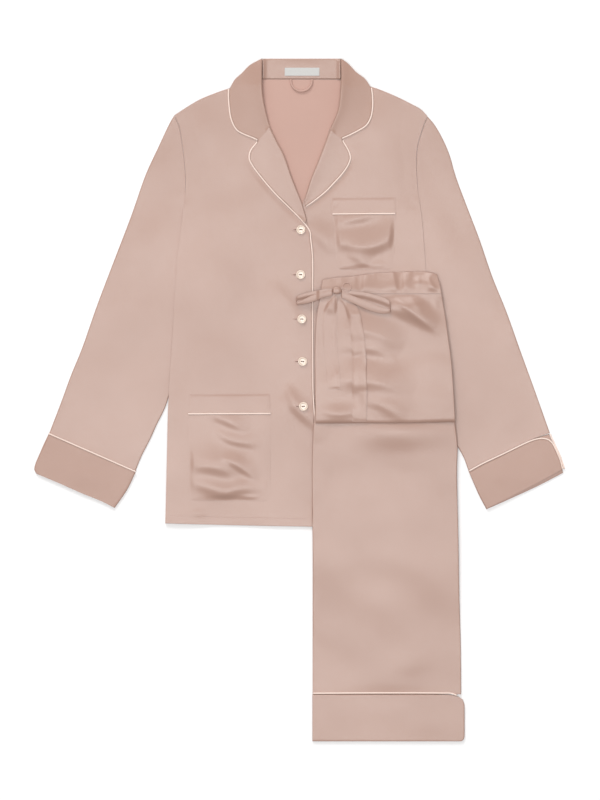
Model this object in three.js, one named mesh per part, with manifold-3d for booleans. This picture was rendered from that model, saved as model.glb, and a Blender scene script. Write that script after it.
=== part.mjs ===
import * as THREE from 'three';
import Module from 'manifold-3d';

// A satin pyjama set laid on a table: the jacket spread out, and on its left half the trousers, folded once
// lengthwise and then in three across the thighs. Millimetres, +Z up, the collar towards +Y. Right and left
// are the wearer's: the right sleeve lies at -X. Every piece of cloth is a thin solid that lies on those
// under it.

// Cloth and trims
const PLY = 1.1;
const GAP = 0.3;
const DOUBLE_PLY = 1.6;
const CUFF_PLY = 2;
const SLEEVE_HOLLOW = 0.4;
const TUBE_TURN = 0.7;
const PIPING_RADIUS = 1.2;
const PIPING_SIDES = 6;
const BUTTON = {
  radius: 6.8, thick: 2.6, foot: 1, shoulder: 0.3, rim: 1.5, dish: 0.8,
  hole: 0.9, holeSides: 8, holeApart: 3.2, turns: 16,
};
const HANG_LOOP = { x: 2.5, top: 479.8, bottom: 461, halfWidth: 18.6, radius: 1.7 };
const LABEL = { west: -22.6, east: 29.5, south: 485.8, north: 497.9, thick: 0.7 };

// How far a layer sags between its supports at each settling pass, and the cells its ground is read in
const SAG = { body: 0.5, collar: 1, bow: 1, tail: 0.2 };
const PASSES = 40;
const CELL = 1.5;

// Number of steps across and along each kind of piece
const STEPS = {
  body: 15, armhole: 7, shoulder: 3, neck: 4, front: 11, frontEdge: 14, roll: 8, sleeve: 14,
  cuff: 4, cuffAcross: 7, cuffEdge: 16, vent: 6,
  collar: 8, fall: 4, leaf: 9, leafAcross: 5, lapel: 12, lapelLine: 14,
  pocket: 6, pocketAcross: 8, band: 2, label: 2, loop: 14,
  leg: 15, legAcross: 7, turnUpPiping: 10, fold: 6, hip: 10, hipAcross: 12, waist: 3, waistAcross: 20,
  tail: 12, tieAcross: 2,
};

const table = (columns, ...rows) =>
  rows.map((row) => Object.fromEntries(columns.map((column, i) => [column, row[i]])));
const points = (...rows) => table(['x', 'y'], ...rows);

// Jacket body, from the hem up
const SIDE_RIGHT = points([-201.5, -185], [-199.3, -93], [-197, -3], [-190.7, 100], [-183.4, 215.6],
  [-177, 264], [-172, 307]);
const SIDE_LEFT = points([205, -187], [203, -93], [200.5, -3], [194, 100], [187, 221.5], [182, 279],
  [177, 312]);
const ARMHOLE_RIGHT = points([-172, 307], [-171, 325], [-173, 359], [-176, 383], [-181, 411], [-188, 426.5]);
const ARMHOLE_LEFT = points([177, 312], [175.6, 330.5], [174.5, 361], [177, 384], [184, 407], [191, 425.5]);
const SHOULDER_RIGHT = points([-188, 426.5], [-163, 442.6], [-148, 451], [-126, 460], [-107, 466.6],
  [-60, 480.5]);
const SHOULDER_LEFT = points([64, 480.5], [108.5, 469], [128.6, 461.6], [148, 453], [167, 443.5],
  [182, 435], [191, 425.5]);
const HEM_RIGHT = points([-201.5, -185], [-104, -187.7], [17.5, -190]);
const HEM_LEFT = points([-15, -189], [90, -188.5], [205, -187]);
const BACK_HEM = points([-200.5, -184], [0, -188], [204, -186]);

// Front edge of the right front along the middle of its piping, then the folded roll line up to the neck
const FRONT_EDGE = points([19.5, -190], [22.3, -35], [20, 11], [19.6, 53], [19.1, 146], [19, 215],
  [16.4, 241], [15.2, 252]);
const ROLL_RIGHT = points([11, 267], [6, 286.6], [-4, 313], [-13, 336], [-24, 368], [-34, 387], [-44, 407],
  [-51, 433], [-56, 463], [-57, 480.5]);
const FRONT_EDGE_LEFT = points([-15, -189], [-15, 100], [-15, 235]);
const ROLL_LEFT = points([-11, 255], [5, 297], [16.4, 330], [26, 354], [39, 388], [44, 404.5], [49, 413],
  [57, 434], [60.4, 460], [61, 480.5]);

// Middle of the piping round each lapel and collar leaf, from the break of the lapel up
const LAPEL_EDGE_RIGHT = points([7.4, 264], [-18.4, 291], [-37.6, 310], [-62, 339], [-71, 351.5],
  [-75.3, 360], [-75.5, 367], [-73, 374.5], [-64.2, 385.6]);
const LAPEL_EDGE_LEFT = points([9, 289.8], [23, 299.5], [39, 312.5], [52, 326], [63.7, 339], [72.5, 352],
  [75.8, 362], [74, 371], [65, 387.2]);
const LEAF_EDGE_RIGHT = points([-63.5, 389.7], [-71, 393], [-83.5, 398], [-93.5, 403.6], [-98.8, 411],
  [-103.4, 423], [-105.7, 439], [-106.7, 454], [-106.4, 465.5]);
const LEAF_EDGE_LEFT = points([64, 392.3], [75, 397], [88, 403.6], [99.4, 411], [106, 422], [109, 437],
  [109, 455], [107.4, 467.5]);
const LAPEL_ROLL_RIGHT = points([10, 271.5], [2.6, 296], [-4, 313], [-13, 336], [-24, 368], [-34, 387],
  [-44.5, 408.4]);
const LAPEL_ROLL_LEFT = points([7, 298.5], [16.4, 330], [26, 354], [39, 388], [45, 403.6]);
const LEAF_ROLL_RIGHT = points([-45.2, 411.4], [-51, 433], [-56, 463], [-56.4, 511.3]);
const LEAF_ROLL_LEFT = points([46, 406.8], [57, 434], [60.4, 460], [62, 484], [61.6, 511.3]);
const LEAF_TOP_RIGHT = points([-104.8, 466.6], [-97, 480], [-87, 489], [-75, 501], [-56.4, 511.3]);
const LEAF_TOP_LEFT = points([61.6, 511.3], [71.8, 504], [84.7, 490.6], [97.7, 480.8], [105.8, 469.4]);
const ROLL = { high: 2.2, share: 0.22 };

// Stand inside the back neck and the fall folded down behind it
const COLLAR_BACK = {
  west: -55.9, east: 61.2, neck: 480.9, fold: 511.7, fall: 452, middle: 491, fallReach: 42, bend: 1.4,
};

// Sleeves, from the armhole down to the turned-back cuff
const SLEEVE_OUTER_RIGHT = points([-188.4, 426.3], [-195, 415], [-212, 379], [-230.5, 339], [-252, 278],
  [-278, 210], [-304, 141.5], [-327, 76], [-343, 37], [-358, -4], [-375.8, -50.2]);
const SLEEVE_INNER_RIGHT = points([-172.3, 306.6], [-172, 260], [-176, 200], [-184, 100], [-198, 0],
  [-216, -40.6], [-225, -60.5], [-237.5, -85], [-246.4, -107]);
const SLEEVE_OUTER_LEFT = points([191.4, 425.3], [201, 414], [213, 394], [224, 369], [234, 335], [248, 297],
  [269, 242], [289, 184], [310, 132], [331, 73], [351, 18], [375, -49.6]);
const SLEEVE_INNER_LEFT = points([177.3, 311.6], [177, 260], [179, 200], [187, 100], [202, -5],
  [219, -41], [236.6, -69.8], [246, -87], [252.8, -105.6]);
const CUFF_RIGHT = {
  north: points([-376.8, -51.6], [-246.3, -108.8]),
  west: points([-394.8, -110.6], [-398.1, -104], [-388, -76], [-376.8, -51.6]),
  east: points([-277.4, -162], [-258.6, -134.4], [-246.3, -108.8]),
  south: points([-394.8, -110.6], [-358, -126], [-328, -139.4], [-297, -152], [-277.4, -162]),
};

// The left cuff is vented: its upper layer has a round corner, its lower one runs on to the sleeve's edge
const CUFF_EDGE_LEFT = points([254, -106.6], [273, -96], [307, -80], [336, -66], [347.6, -61],
  [357, -58.4], [366, -58], [373, -60], [378.7, -65], [383, -73], [391, -92], [394, -104]);
const CUFF_UNDER_EDGE_LEFT = points([375.6, -51.6], [385, -73], [391.5, -87], [397, -103.6]);
const CUFF_LEFT = {
  cornerShare: 0.72,
  south: points([280.4, -162.8], [313, -148.4], [359, -127], [391, -111]),
  west: points([280.4, -162.8], [269.2, -142], [254.2, -109.4]),
};
const CUFF_UNDER_LEFT = {
  north: points([252.8, -106], [272.6, -95], [306.6, -79], [335.6, -65], [352, -58], [373.6, -51.4]),
  east: points([394.8, -109.4], [389.8, -87.6], [383.4, -73.7], [373.6, -51.4]),
  west: points([280, -164], [268.8, -143], [252.8, -106]),
  south: points([280, -164], [313, -149.4], [359, -128], [394.8, -109.4]),
};

// Patch pockets, each with a band above its piping
const CHEST_POCKET = {
  bandTop: 302.8, bandWest: 46.6, bandEast: 144.4, piping: 278.5,
  west: points([62, 195.5], [56.5, 197.5], [54, 204], [52, 240], [48.4, 276.9]),
  east: points([132, 195.5], [138.5, 197.5], [141, 204], [142, 240], [143.6, 276.9]),
};
const HIP_POCKET = {
  bandTop: 8.6, bandWest: -166, bandEast: -44, piping: -21,
  west: points([-160, -151], [-164, -148.5], [-166, -142], [-167, -90], [-168, -22.7]),
  east: points([-52, -151.5], [-47, -149], [-45, -142], [-44, -90], [-43, -22.7]),
};

const BUTTONS = points([1.7, 254.9], [1.3, 187.6], [3.2, 121], [4.3, 57.5], [5.5, -9.8]);

// Trousers: legs from the hem up to the hidden fold, then hip and waist on top
const LEG = {
  west: points([19.3, -441.2], [19.3, -240], [19.3, -60], [24, 0], [26, 80], [30, 148]),
  east: points([241.9, -441.2], [241.4, -374], [239.5, -297], [238, -224], [236.3, -155], [235.4, -104],
    [236.3, -69], [231.6, -24], [225.6, 60], [213, 148]),
};
const TURN_UP = {
  piping: points([20, -439.7], [115, -439.2], [211, -439.4], [228, -440], [235.5, -443]),
  north: points([19, -441.6], [120, -441.6], [211, -441.8], [227, -442.4], [238, -445]),
  east: points([242, -511.7], [245.6, -509.5], [247, -505], [247, -457], [244.5, -449.5], [238, -445]),
  south: points([19, -511.7], [242, -511.7]),
  west: points([19, -511.7], [19, -441.6]),
};
const HIP = {
  west: points([23.6, -35.5], [23, 39], [23, 79], [25.6, 127], [31.6, 158.2]),
  east: points([232.6, -33.4], [229.6, 19], [226.6, 59], [222.5, 91], [217.4, 127], [212, 158.2]),
};
const HIDDEN_FOLD = { inset: 1.6, south: -33, north: 153, thick: 3.6 };
const WAIST = {
  west: points([31.6, 158.6], [31.8, 165], [33.7, 179.5]),
  east: points([212, 158.6], [210.5, 168], [205.4, 188]),
  north: points([33.7, 179.5], [51, 182.5], [81, 185.5], [111, 189.5], [151, 191.6], [187, 192],
    [205.4, 188]),
  thick: 4.2,
};

// Self-fabric tie: a knot, two bows and two free ends. A bow's lower run goes out and its upper one back
const KNOT = { x: 55.5, y: 163.5, radiusX: 7, radiusY: 6.5, radiusZ: 3.8, around: 12, up: 8 };
const TIE_PLY = 1;
const BOW_TIP = 0.6;
const BOW_RIGHT = table(['x', 'low', 'high', 'upperLow', 'upperHigh', 'open'],
  [48.1, 157, 165, 157, 165, 1.4], [34, 151, 163.5, 148.5, 160.5, 2.4], [18, 150, 161, 146.8, 157, 3.2],
  [4, 148, 157, 143.5, 151.5, 3.4], [-5, 145, 153, 141.5, 148, 2.6]);
const BOW_LEFT = table(['x', 'low', 'high', 'upperLow', 'upperHigh', 'open'],
  [62.9, 157, 164.6, 156, 164, 1.4], [80, 148, 160, 142.5, 157, 2.4], [100, 143, 159.4, 134, 148, 3.2],
  [120, 139, 155, 128.6, 139.6, 3.4], [136.4, 136, 148.6, 130.2, 136.6, 2.6]);
const TAIL_RIGHT = table(['y', 'west', 'east'], [16, 41.5, 61.6], [60, 38, 58], [97, 33.6, 55.5],
  [127, 33.6, 56], [143, 39.6, 56.6], [150, 45, 56.2], [156.4, 49.6, 55.8]);
const TAIL_LEFT = table(['y', 'west', 'east'], [-32.6, 78.4, 99.8], [19, 78, 100], [60, 78, 98.9],
  [99, 75.4, 95.9], [139, 66, 85.6], [150, 58.8, 73], [156, 56.4, 63]);

// Largest folds, each a soft ridge between two points
const fold = (...rows) => table(['x0', 'y0', 'x1', 'y1', 'wide', 'high'], ...rows);
const CHEST_FOLDS = fold([50, 250, 116, 266, 7, 1.6], [56, 228, 88, 214, 8, 2.2], [88, 214, 112, 217, 8, 2.4],
  [112, 217, 138, 248, 8, 1.8]);
const HIP_POCKET_FOLDS = fold([-136, -34, -92, -56, 6, 1.8], [-124, -60, -80, -82, 6, 1.6],
  [-112, -104, -78, -126, 6, 2], [-150, -112, -96, -110, 9, 1.8]);
const FRONT_FOLDS = fold([-16, 16, 14, -24, 8, 2.2], [-150, 250, -120, 120, 30, 1]);
const WAIST_FOLDS = fold([132, 158, 196, 112, 7, 2.6], [150, 164, 206, 116, 6, 1.8],
  [116, 134, 168, 122, 8, 1.6], [106, 84, 126, 78, 8, 1.6], [104, 30, 132, 26, 9, 1.6]);
const LEG_FOLDS = fold([96, -52, 214, -50, 9, 1.6], [110, -96, 216, -98, 14, 1.4]);
const GATHERS = table(['x', 'wide', 'high'], [44, 5, 0.8], [88, 8, 1.6], [118, 9, 1.8], [134, 5, 1.2],
  [151, 4, 1.4], [171, 8, 1.8], [192, 6, 1.4]);

const FINISHES = {
  satin: { color: '#d1b2a4', roughness: 0.42, metalness: 0 },
  reverse: { color: '#d4aa98', roughness: 0.7, metalness: 0 },
  piping: { color: '#fae1d6', roughness: 0.5, metalness: 0 },
  shell: { color: '#fcf0e2', roughness: 0.25, metalness: 0 },
  label: { color: '#e8e6e2', roughness: 0.8, metalness: 0 },
};

// Evenly spaced points on a smooth curve through a table
function along(rows, steps) {
  const curve = new THREE.CatmullRomCurve3(rows.map(({ x, y }) => new THREE.Vector3(x, y, 0)), false,
    'centripetal');
  return curve.getSpacedPoints(steps).map(({ x, y }) => ({ x, y }));
}

const straight = (from, to, steps) => along([from, to], steps);

// The corner at the start of a table kept as it is, and the rest evenly spaced
const cornered = (rows, kept, steps) => join(rows.slice(0, kept), along(rows.slice(kept - 1), steps));

// A line moved sideways, to its left when the distance is positive
function offset(line, distance) {
  return line.map(({ x, y }, k) => {
    const before = line[Math.max(k - 1, 0)];
    const after = line[Math.min(k + 1, line.length - 1)];
    const length = Math.hypot(after.x - before.x, after.y - before.y);
    return {
      x: x - (distance * (after.y - before.y)) / length,
      y: y + (distance * (after.x - before.x)) / length,
    };
  });
}

const join = (...lines) => lines.flatMap((line, k) => (k ? line.slice(1) : line));

// Grid of plan points filling four sides that share their corners
function fill({ south, north, west, east }) {
  const across = south.length - 1;
  const up = west.length - 1;
  const blend = (axis, i, j) => {
    const u = i / across;
    const v = j / up;
    const ruled = (1 - v) * south[i][axis] + v * north[i][axis] + (1 - u) * west[j][axis] + u * east[j][axis];
    const corners = (1 - u) * ((1 - v) * south[0][axis] + v * north[0][axis])
      + u * ((1 - v) * south[across][axis] + v * north[across][axis]);
    return ruled - corners;
  };
  return west.map((_, j) => south.map((__, i) => ({
    x: blend('x', i, j), y: blend('y', i, j), u: i / across, v: j / up,
  })));
}

// Highest surface of a piece in square cells, for what is laid on it later
function heightsOf(geometry) {
  geometry.computeBoundingBox();
  const { min, max } = geometry.boundingBox;
  const west = Math.floor(min.x / CELL);
  const south = Math.floor(min.y / CELL);
  const across = Math.floor(max.x / CELL) - west + 1;
  const up = Math.floor(max.y / CELL) - south + 1;
  const z = new Float32Array(across * up).fill(-Infinity);
  const corner = (k) => new THREE.Vector3().fromBufferAttribute(geometry.attributes.position, k);
  for (let t = 0; t < geometry.index.count; t += 3) {
    const [a, b, c] = [0, 1, 2].map((k) => corner(geometry.index.getX(t + k)));
    const steps = Math.ceil(Math.max(a.distanceTo(b), b.distanceTo(c), c.distanceTo(a)) / CELL);
    for (let i = 0; i <= steps; i++) {
      for (let j = 0; j <= steps - i; j++) {
        const k = steps - i - j;
        const x = (a.x * i + b.x * j + c.x * k) / steps;
        const y = (a.y * i + b.y * j + c.y * k) / steps;
        const cell = (Math.floor(y / CELL) - south) * across + Math.floor(x / CELL) - west;
        z[cell] = Math.max(z[cell], (a.z * i + b.z * j + c.z * k) / steps);
      }
    }
  }
  return { west, south, across, up, z };
}

// Lowest height, over the pieces below, that is clear within a reach round a point
function groundOf(pieces) {
  const layers = pieces.map(({ heights }) => heights);
  return (x, y, reach) => {
    let highest = 0;
    for (const { west, south, across, up, z } of layers) {
      const i0 = Math.max(Math.floor((x - reach) / CELL) - west, 0);
      const i1 = Math.min(Math.floor((x + reach) / CELL) - west, across - 1);
      const j0 = Math.max(Math.floor((y - reach) / CELL) - south, 0);
      const j1 = Math.min(Math.floor((y + reach) / CELL) - south, up - 1);
      for (let j = j0; j <= j1; j++) {
        for (let i = i0; i <= i1; i++) highest = Math.max(highest, z[j * across + i] + GAP);
      }
    }
    return highest;
  };
}

// Distance from a grid point to its farthest neighbour
function reachAt(grid, i, j) {
  let reach = 0;
  for (const row of grid.slice(Math.max(j - 1, 0), j + 2)) {
    for (const near of row.slice(Math.max(i - 1, 0), i + 2)) {
      reach = Math.max(reach, Math.hypot(near.x - grid[j][i].x, near.y - grid[j][i].y));
    }
  }
  return reach;
}

// Heights of a cloth that lies on the ground and bridges its steps
function settle(grid, pieces, sag = SAG.body) {
  const ground = groundOf(pieces);
  const lowest = grid.map((row, j) => row.map(({ x, y }, i) => ground(x, y, reachAt(grid, i, j))));
  let z = lowest;
  for (let pass = 0; pass < PASSES; pass++) {
    z = z.map((row, j) => row.map((_, i) => {
      const near = [z[j - 1]?.[i], z[j + 1]?.[i], row[i - 1], row[i + 1]].filter(Number.isFinite);
      const mean = near.reduce((sum, height) => sum + height, 0) / near.length;
      return Math.max(lowest[j][i], mean - sag);
    }));
  }
  return z;
}

// Height added at a point by the folds of a table
function foldsAt(folds, { x, y }) {
  return folds.reduce((highest, { x0, y0, x1, y1, wide, high }) => {
    const length = Math.hypot(x1 - x0, y1 - y0);
    const t = ((x - x0) * (x1 - x0) + (y - y0) * (y1 - y0)) / length ** 2;
    const s = THREE.MathUtils.clamp(t, 0, 1);
    const away = Math.hypot(x - x0 - s * (x1 - x0), y - y0 - s * (y1 - y0));
    return Math.max(highest, high * Math.exp(-((away / wide) ** 2)));
  }, 0);
}

function geometryOf(vertices, faces) {
  const geometry = new THREE.BufferGeometry();
  const places = vertices.flatMap(({ x, y, z }) => [x, y, z]);
  geometry.setAttribute('position', new THREE.Float32BufferAttribute(places, 3));
  geometry.setIndex(faces.flat());
  return geometry;
}

const quad = (a, b, c, d) => [[a, b, c], [a, c, d]];

// Closed solid between two grids of points, with rows of points round its edge between them
function wall(under, over, rims = []) {
  const rows = under.length;
  const columns = under[0].length;
  const size = rows * columns;
  const faces = [];
  for (let j = 0; j < rows - 1; j++) {
    for (let i = 0; i < columns - 1; i++) {
      const a = j * columns + i;
      const [b, c, d] = [a + 1, a + columns + 1, a + columns];
      faces.push(...quad(a + size, b + size, c + size, d + size), ...quad(d, c, b, a));
    }
  }
  const edge = edgeOf(rows, columns).map(([j, i]) => j * columns + i);
  const rings = [edge, ...rims.map((_, r) => edge.map((__, k) => 2 * size + r * edge.length + k)),
    edge.map((k) => k + size)];
  rings.slice(1).forEach((ring, r) => edge.forEach((_, k) => {
    const next = (k + 1) % edge.length;
    faces.push(...quad(rings[r][k], rings[r][next], ring[next], ring[k]));
  }));
  return geometryOf([...under.flat(), ...over.flat(), ...rims.flat()], faces);
}

// Rows and columns of the points round a grid, anticlockwise
function edgeOf(rows, columns) {
  const edge = [];
  for (let i = 0; i < columns - 1; i++) edge.push([0, i]);
  for (let j = 0; j < rows - 1; j++) edge.push([j, columns - 1]);
  for (let i = columns - 1; i > 0; i--) edge.push([rows - 1, i]);
  for (let j = rows - 1; j > 0; j--) edge.push([j, 0]);
  return edge;
}

// Closed tube between an inner and an outer set of rings, open at both ends
function sleeveWall(inner, outer) {
  const rows = inner.length;
  const columns = inner[0].length;
  const size = rows * columns;
  const faces = [];
  for (let i = 0; i < columns; i++) {
    const next = (i + 1) % columns;
    for (let j = 0; j < rows - 1; j++) {
      const [a, b] = [j * columns + i, j * columns + next];
      const [c, d] = [b + columns, a + columns];
      faces.push(...quad(a + size, b + size, c + size, d + size), ...quad(d, c, b, a));
    }
    const last = (rows - 1) * columns;
    faces.push(...quad(i + size, i, next, next + size));
    faces.push(...quad(last + i, last + i + size, last + next + size, last + next));
  }
  return geometryOf([...inner.flat(), ...outer.flat()], faces);
}

// Point at a grid place, moved in from the outline
function insetAt(grid, j, i, inset) {
  const rows = grid.length - 1;
  const columns = grid[0].length - 1;
  const { x, y } = grid[j][i];
  const inward = [];
  if (i === 0) inward.push(grid[j][1]);
  if (i === columns) inward.push(grid[j][columns - 1]);
  if (j === 0) inward.push(grid[1][i]);
  if (j === rows) inward.push(grid[rows - 1][i]);
  return inward.reduce((moved, near) => {
    const length = Math.hypot(near.x - x, near.y - y);
    return { x: moved.x + (inset * (near.x - x)) / length, y: moved.y + (inset * (near.y - y)) / length };
  }, { x, y });
}

const CUT_EDGE = { inset: 0, rims: [] };
const ROUND_EDGE = { inset: 0.6, rims: [{ inset: 0, level: 0.5 }] };
const LAYERED_EDGE = {
  inset: 0.7,
  rims: [{ inset: 0, level: 0.25 }, { inset: 1, level: 0.5 }, { inset: 0, level: 0.75 }],
};

// Panel of cloth laid on other pieces: lift raises both its faces, swell its upper one alone
function panel(sides, { on = [], thick = PLY, edge = CUT_EDGE, lift = () => 0, swell = () => 0, sag } = {}) {
  const grid = fill(sides);
  const z = settle(grid, on, sag);
  const low = (j, i) => z[j][i] + lift(grid[j][i]);
  const high = (j, i) => low(j, i) + thick + swell(grid[j][i]);
  const face = (height) => grid.map((row, j) => row.map((_, i) => (
    { ...insetAt(grid, j, i, edge.inset), z: height(j, i) })));
  const rims = edge.rims.map(({ inset, level }) => edgeOf(grid.length, grid[0].length).map(([j, i]) => (
    { ...insetAt(grid, j, i, inset), z: THREE.MathUtils.lerp(low(j, i), high(j, i), level) })));
  return wall(face(low), face(high), rims);
}

// Flattened tube of cloth laid on other pieces, open at its two ends
function flatTube(sides, { on = [], ply = PLY, hollow = SLEEVE_HOLLOW } = {}) {
  const grid = fill(sides);
  const z = settle(grid, on);
  const turn = ply * TUBE_TURN;
  const ring = (row, j, wallShare) => {
    const inset = wallShare * ply;
    const last = row.length - 1;
    const at = (i, side, height) => {
      const { x, y } = row[i];
      const near = { 0: row[1], [last]: row[last - 1] }[i];
      const share = near ? side / Math.hypot(near.x - x, near.y - y) : 0;
      const towards = near ?? row[i];
      return { x: x + share * (towards.x - x), y: y + share * (towards.y - y), z: z[j][i] + height };
    };
    const top = 2 * ply + hollow - inset;
    const places = row.map((_, i) => i);
    return [...places.map((i) => at(i, turn + inset, top)), at(last, inset, ply + hollow / 2),
      ...places.reverse().map((i) => at(i, turn + inset, inset)), at(0, inset, ply + hollow / 2)];
  };
  return sleeveWall(grid.map((row, j) => ring(row, j, 1)), grid.map((row, j) => ring(row, j, 0)));
}

// Line of evenly numbered straight runs, for a cord that keeps to given points
class Route extends THREE.Curve {
  constructor(stations) {
    super();
    this.stations = stations;
  }

  getUtoTmapping(u) {
    return u;
  }

  getPoint(t, target = new THREE.Vector3()) {
    const place = t * (this.stations.length - 1);
    const k = Math.min(Math.floor(place), this.stations.length - 2);
    return target.lerpVectors(this.stations[k], this.stations[k + 1], place - k);
  }
}

// Round cord along a plan line, at a height for each of its points
function cord(line, heights, radius = PIPING_RADIUS, sides = PIPING_SIDES) {
  const section = new THREE.Shape(Array.from({ length: sides }, (_, k) => {
    const angle = (2 * Math.PI * (k + 0.5)) / sides;
    return new THREE.Vector2(radius * Math.cos(angle), radius * Math.sin(angle));
  }));
  const stations = line.map(({ x, y }, k) => new THREE.Vector3(x, y, heights[k] + radius));
  const geometry = new THREE.ExtrudeGeometry(section, {
    steps: line.length - 1, bevelEnabled: false, extrudePath: new Route(stations),
  });
  return indexed(geometry);
}

// The same triangles with an index
function indexed(geometry) {
  const plain = new THREE.BufferGeometry();
  plain.setAttribute('position', geometry.attributes.position);
  plain.setIndex(geometry.index ?? Array.from({ length: geometry.attributes.position.count }, (_, k) => k));
  return plain;
}

// Heights for a cord that lies on other pieces
function lieOn(line, pieces) {
  return settle([line], pieces)[0];
}

// Two-hole button with a raised rim and a dished face
async function buttonShape() {
  const wasm = await Module();
  wasm.setup();
  const { radius, thick, foot, shoulder, rim, dish, hole, holeSides, holeApart, turns } = BUTTON;
  const profile = [[0, 0], [radius - foot, 0], [radius, 0.4 * thick], [radius - shoulder, 0.8 * thick],
    [radius - rim / 2, thick], [radius - rim, thick - dish / 2], [radius - 1.5 * rim, thick - dish],
    [0, thick - dish]];
  const solid = (geometry) => {
    const { vertices, faces } = welded(geometry.rotateX(Math.PI / 2));
    return new wasm.Manifold(new wasm.Mesh({
      numProp: 3, vertProperties: new Float32Array(vertices.flat()), triVerts: new Uint32Array(faces.flat()),
    }));
  };
  const disc = solid(new THREE.LatheGeometry(profile.map(([x, y]) => new THREE.Vector2(x, y)), turns));
  const drill = (x) => solid(new THREE.CylinderGeometry(hole, hole, 3 * thick, holeSides).translate(x, 0, 0));
  const button = disc.subtract(drill(-holeApart / 2)).subtract(drill(holeApart / 2));
  const { vertProperties, triVerts } = button.getMesh();
  const geometry = new THREE.BufferGeometry();
  geometry.setAttribute('position', new THREE.BufferAttribute(Float32Array.from(vertProperties), 3));
  geometry.setIndex([...triVerts]);
  return geometry;
}

// Vertices merged where they meet, and the faces that keep three corners
function welded(geometry) {
  const { position } = geometry.attributes;
  const places = new Map();
  const vertices = [];
  const number = Array.from({ length: position.count }, (_, k) => {
    const vertex = [position.getX(k), position.getY(k), position.getZ(k)];
    const key = vertex.map((v) => Math.round(v * 1e4)).join();
    if (!places.has(key)) places.set(key, vertices.push(vertex) - 1);
    return places.get(key);
  });
  const faces = [];
  for (let t = 0; t < geometry.index.count; t += 3) {
    const face = [0, 1, 2].map((k) => number[geometry.index.getX(t + k)]);
    if (new Set(face).size === 3) faces.push(face);
  }
  return { vertices, faces };
}

const set = new THREE.Group();
const laid = {};

function lay(name, finish, geometry) {
  const mesh = new THREE.Mesh(geometry, new THREE.MeshStandardMaterial(FINISHES[finish]));
  mesh.name = name;
  set.add(mesh);
  laid[name] = { heights: heightsOf(geometry) };
  return laid[name];
}

const those = (...names) => names.map((name) => laid[name]);

const armholeRight = along(ARMHOLE_RIGHT, STEPS.armhole);
const armholeLeft = along(ARMHOLE_LEFT, STEPS.armhole);
const lapelLineRight = along([FRONT_EDGE.at(-1), ...LAPEL_EDGE_RIGHT], STEPS.lapelLine);

function sleeves() {
  const cuffSeam = CUFF_RIGHT.north.map(({ x, y }) => ({ x: x + GAP, y: y + 2 * GAP }));
  lay('sleeve_right', 'satin', flatTube({
    west: along(SLEEVE_OUTER_RIGHT, STEPS.sleeve).reverse(),
    east: along(SLEEVE_INNER_RIGHT, STEPS.sleeve).reverse(),
    north: pinned(offset(armholeRight, GAP).reverse(), SLEEVE_OUTER_RIGHT[0], SLEEVE_INNER_RIGHT[0]),
    south: pinned(along(cuffSeam, STEPS.armhole), SLEEVE_OUTER_RIGHT.at(-1), SLEEVE_INNER_RIGHT.at(-1)),
  }));
  lay('sleeve_left', 'satin', flatTube({
    west: along(SLEEVE_INNER_LEFT, STEPS.sleeve).reverse(),
    east: along(SLEEVE_OUTER_LEFT, STEPS.sleeve).reverse(),
    north: pinned(offset(armholeLeft, -GAP), SLEEVE_INNER_LEFT[0], SLEEVE_OUTER_LEFT[0]),
    south: pinned(offset(along(CUFF_UNDER_LEFT.north, STEPS.armhole), GAP), SLEEVE_INNER_LEFT.at(-1),
      SLEEVE_OUTER_LEFT.at(-1)),
  }));
}

// A line with its ends put on two given points
function pinned(line, first, last) {
  return [first, ...line.slice(1, -1), last];
}

function cuffs() {
  const ends = ({ south, north }) => ({
    south: along(south, STEPS.cuffAcross), north: along(north, STEPS.cuffAcross),
  });
  lay('cuff_right', 'satin', flatTube({
    ...ends(CUFF_RIGHT),
    west: cornered(CUFF_RIGHT.west, 2, STEPS.cuff - 1), east: along(CUFF_RIGHT.east, STEPS.cuff),
  }, { ply: CUFF_PLY }));
  lay('cuff_left_under', 'satin', panel({
    ...ends(CUFF_UNDER_LEFT),
    west: along(CUFF_UNDER_LEFT.west, STEPS.cuff), east: along(CUFF_UNDER_LEFT.east, STEPS.cuff),
  }, { thick: CUFF_PLY, edge: ROUND_EDGE }));
  const seam = offset(along(CUFF_EDGE_LEFT, STEPS.cuffEdge), -(PIPING_RADIUS + GAP));
  const corner = Math.round(seam.length * CUFF_LEFT.cornerShare);
  const north = seam.slice(0, corner + 1);
  const east = seam.slice(corner).reverse();
  lay('cuff_left', 'satin', panel({
    north, east,
    south: pinned(along(CUFF_LEFT.south, north.length - 1), CUFF_LEFT.south[0], east[0]),
    west: pinned(along(CUFF_LEFT.west, east.length - 1), CUFF_LEFT.south[0], north[0]),
  }, { on: those('cuff_left_under'), thick: CUFF_PLY }));
}

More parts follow.
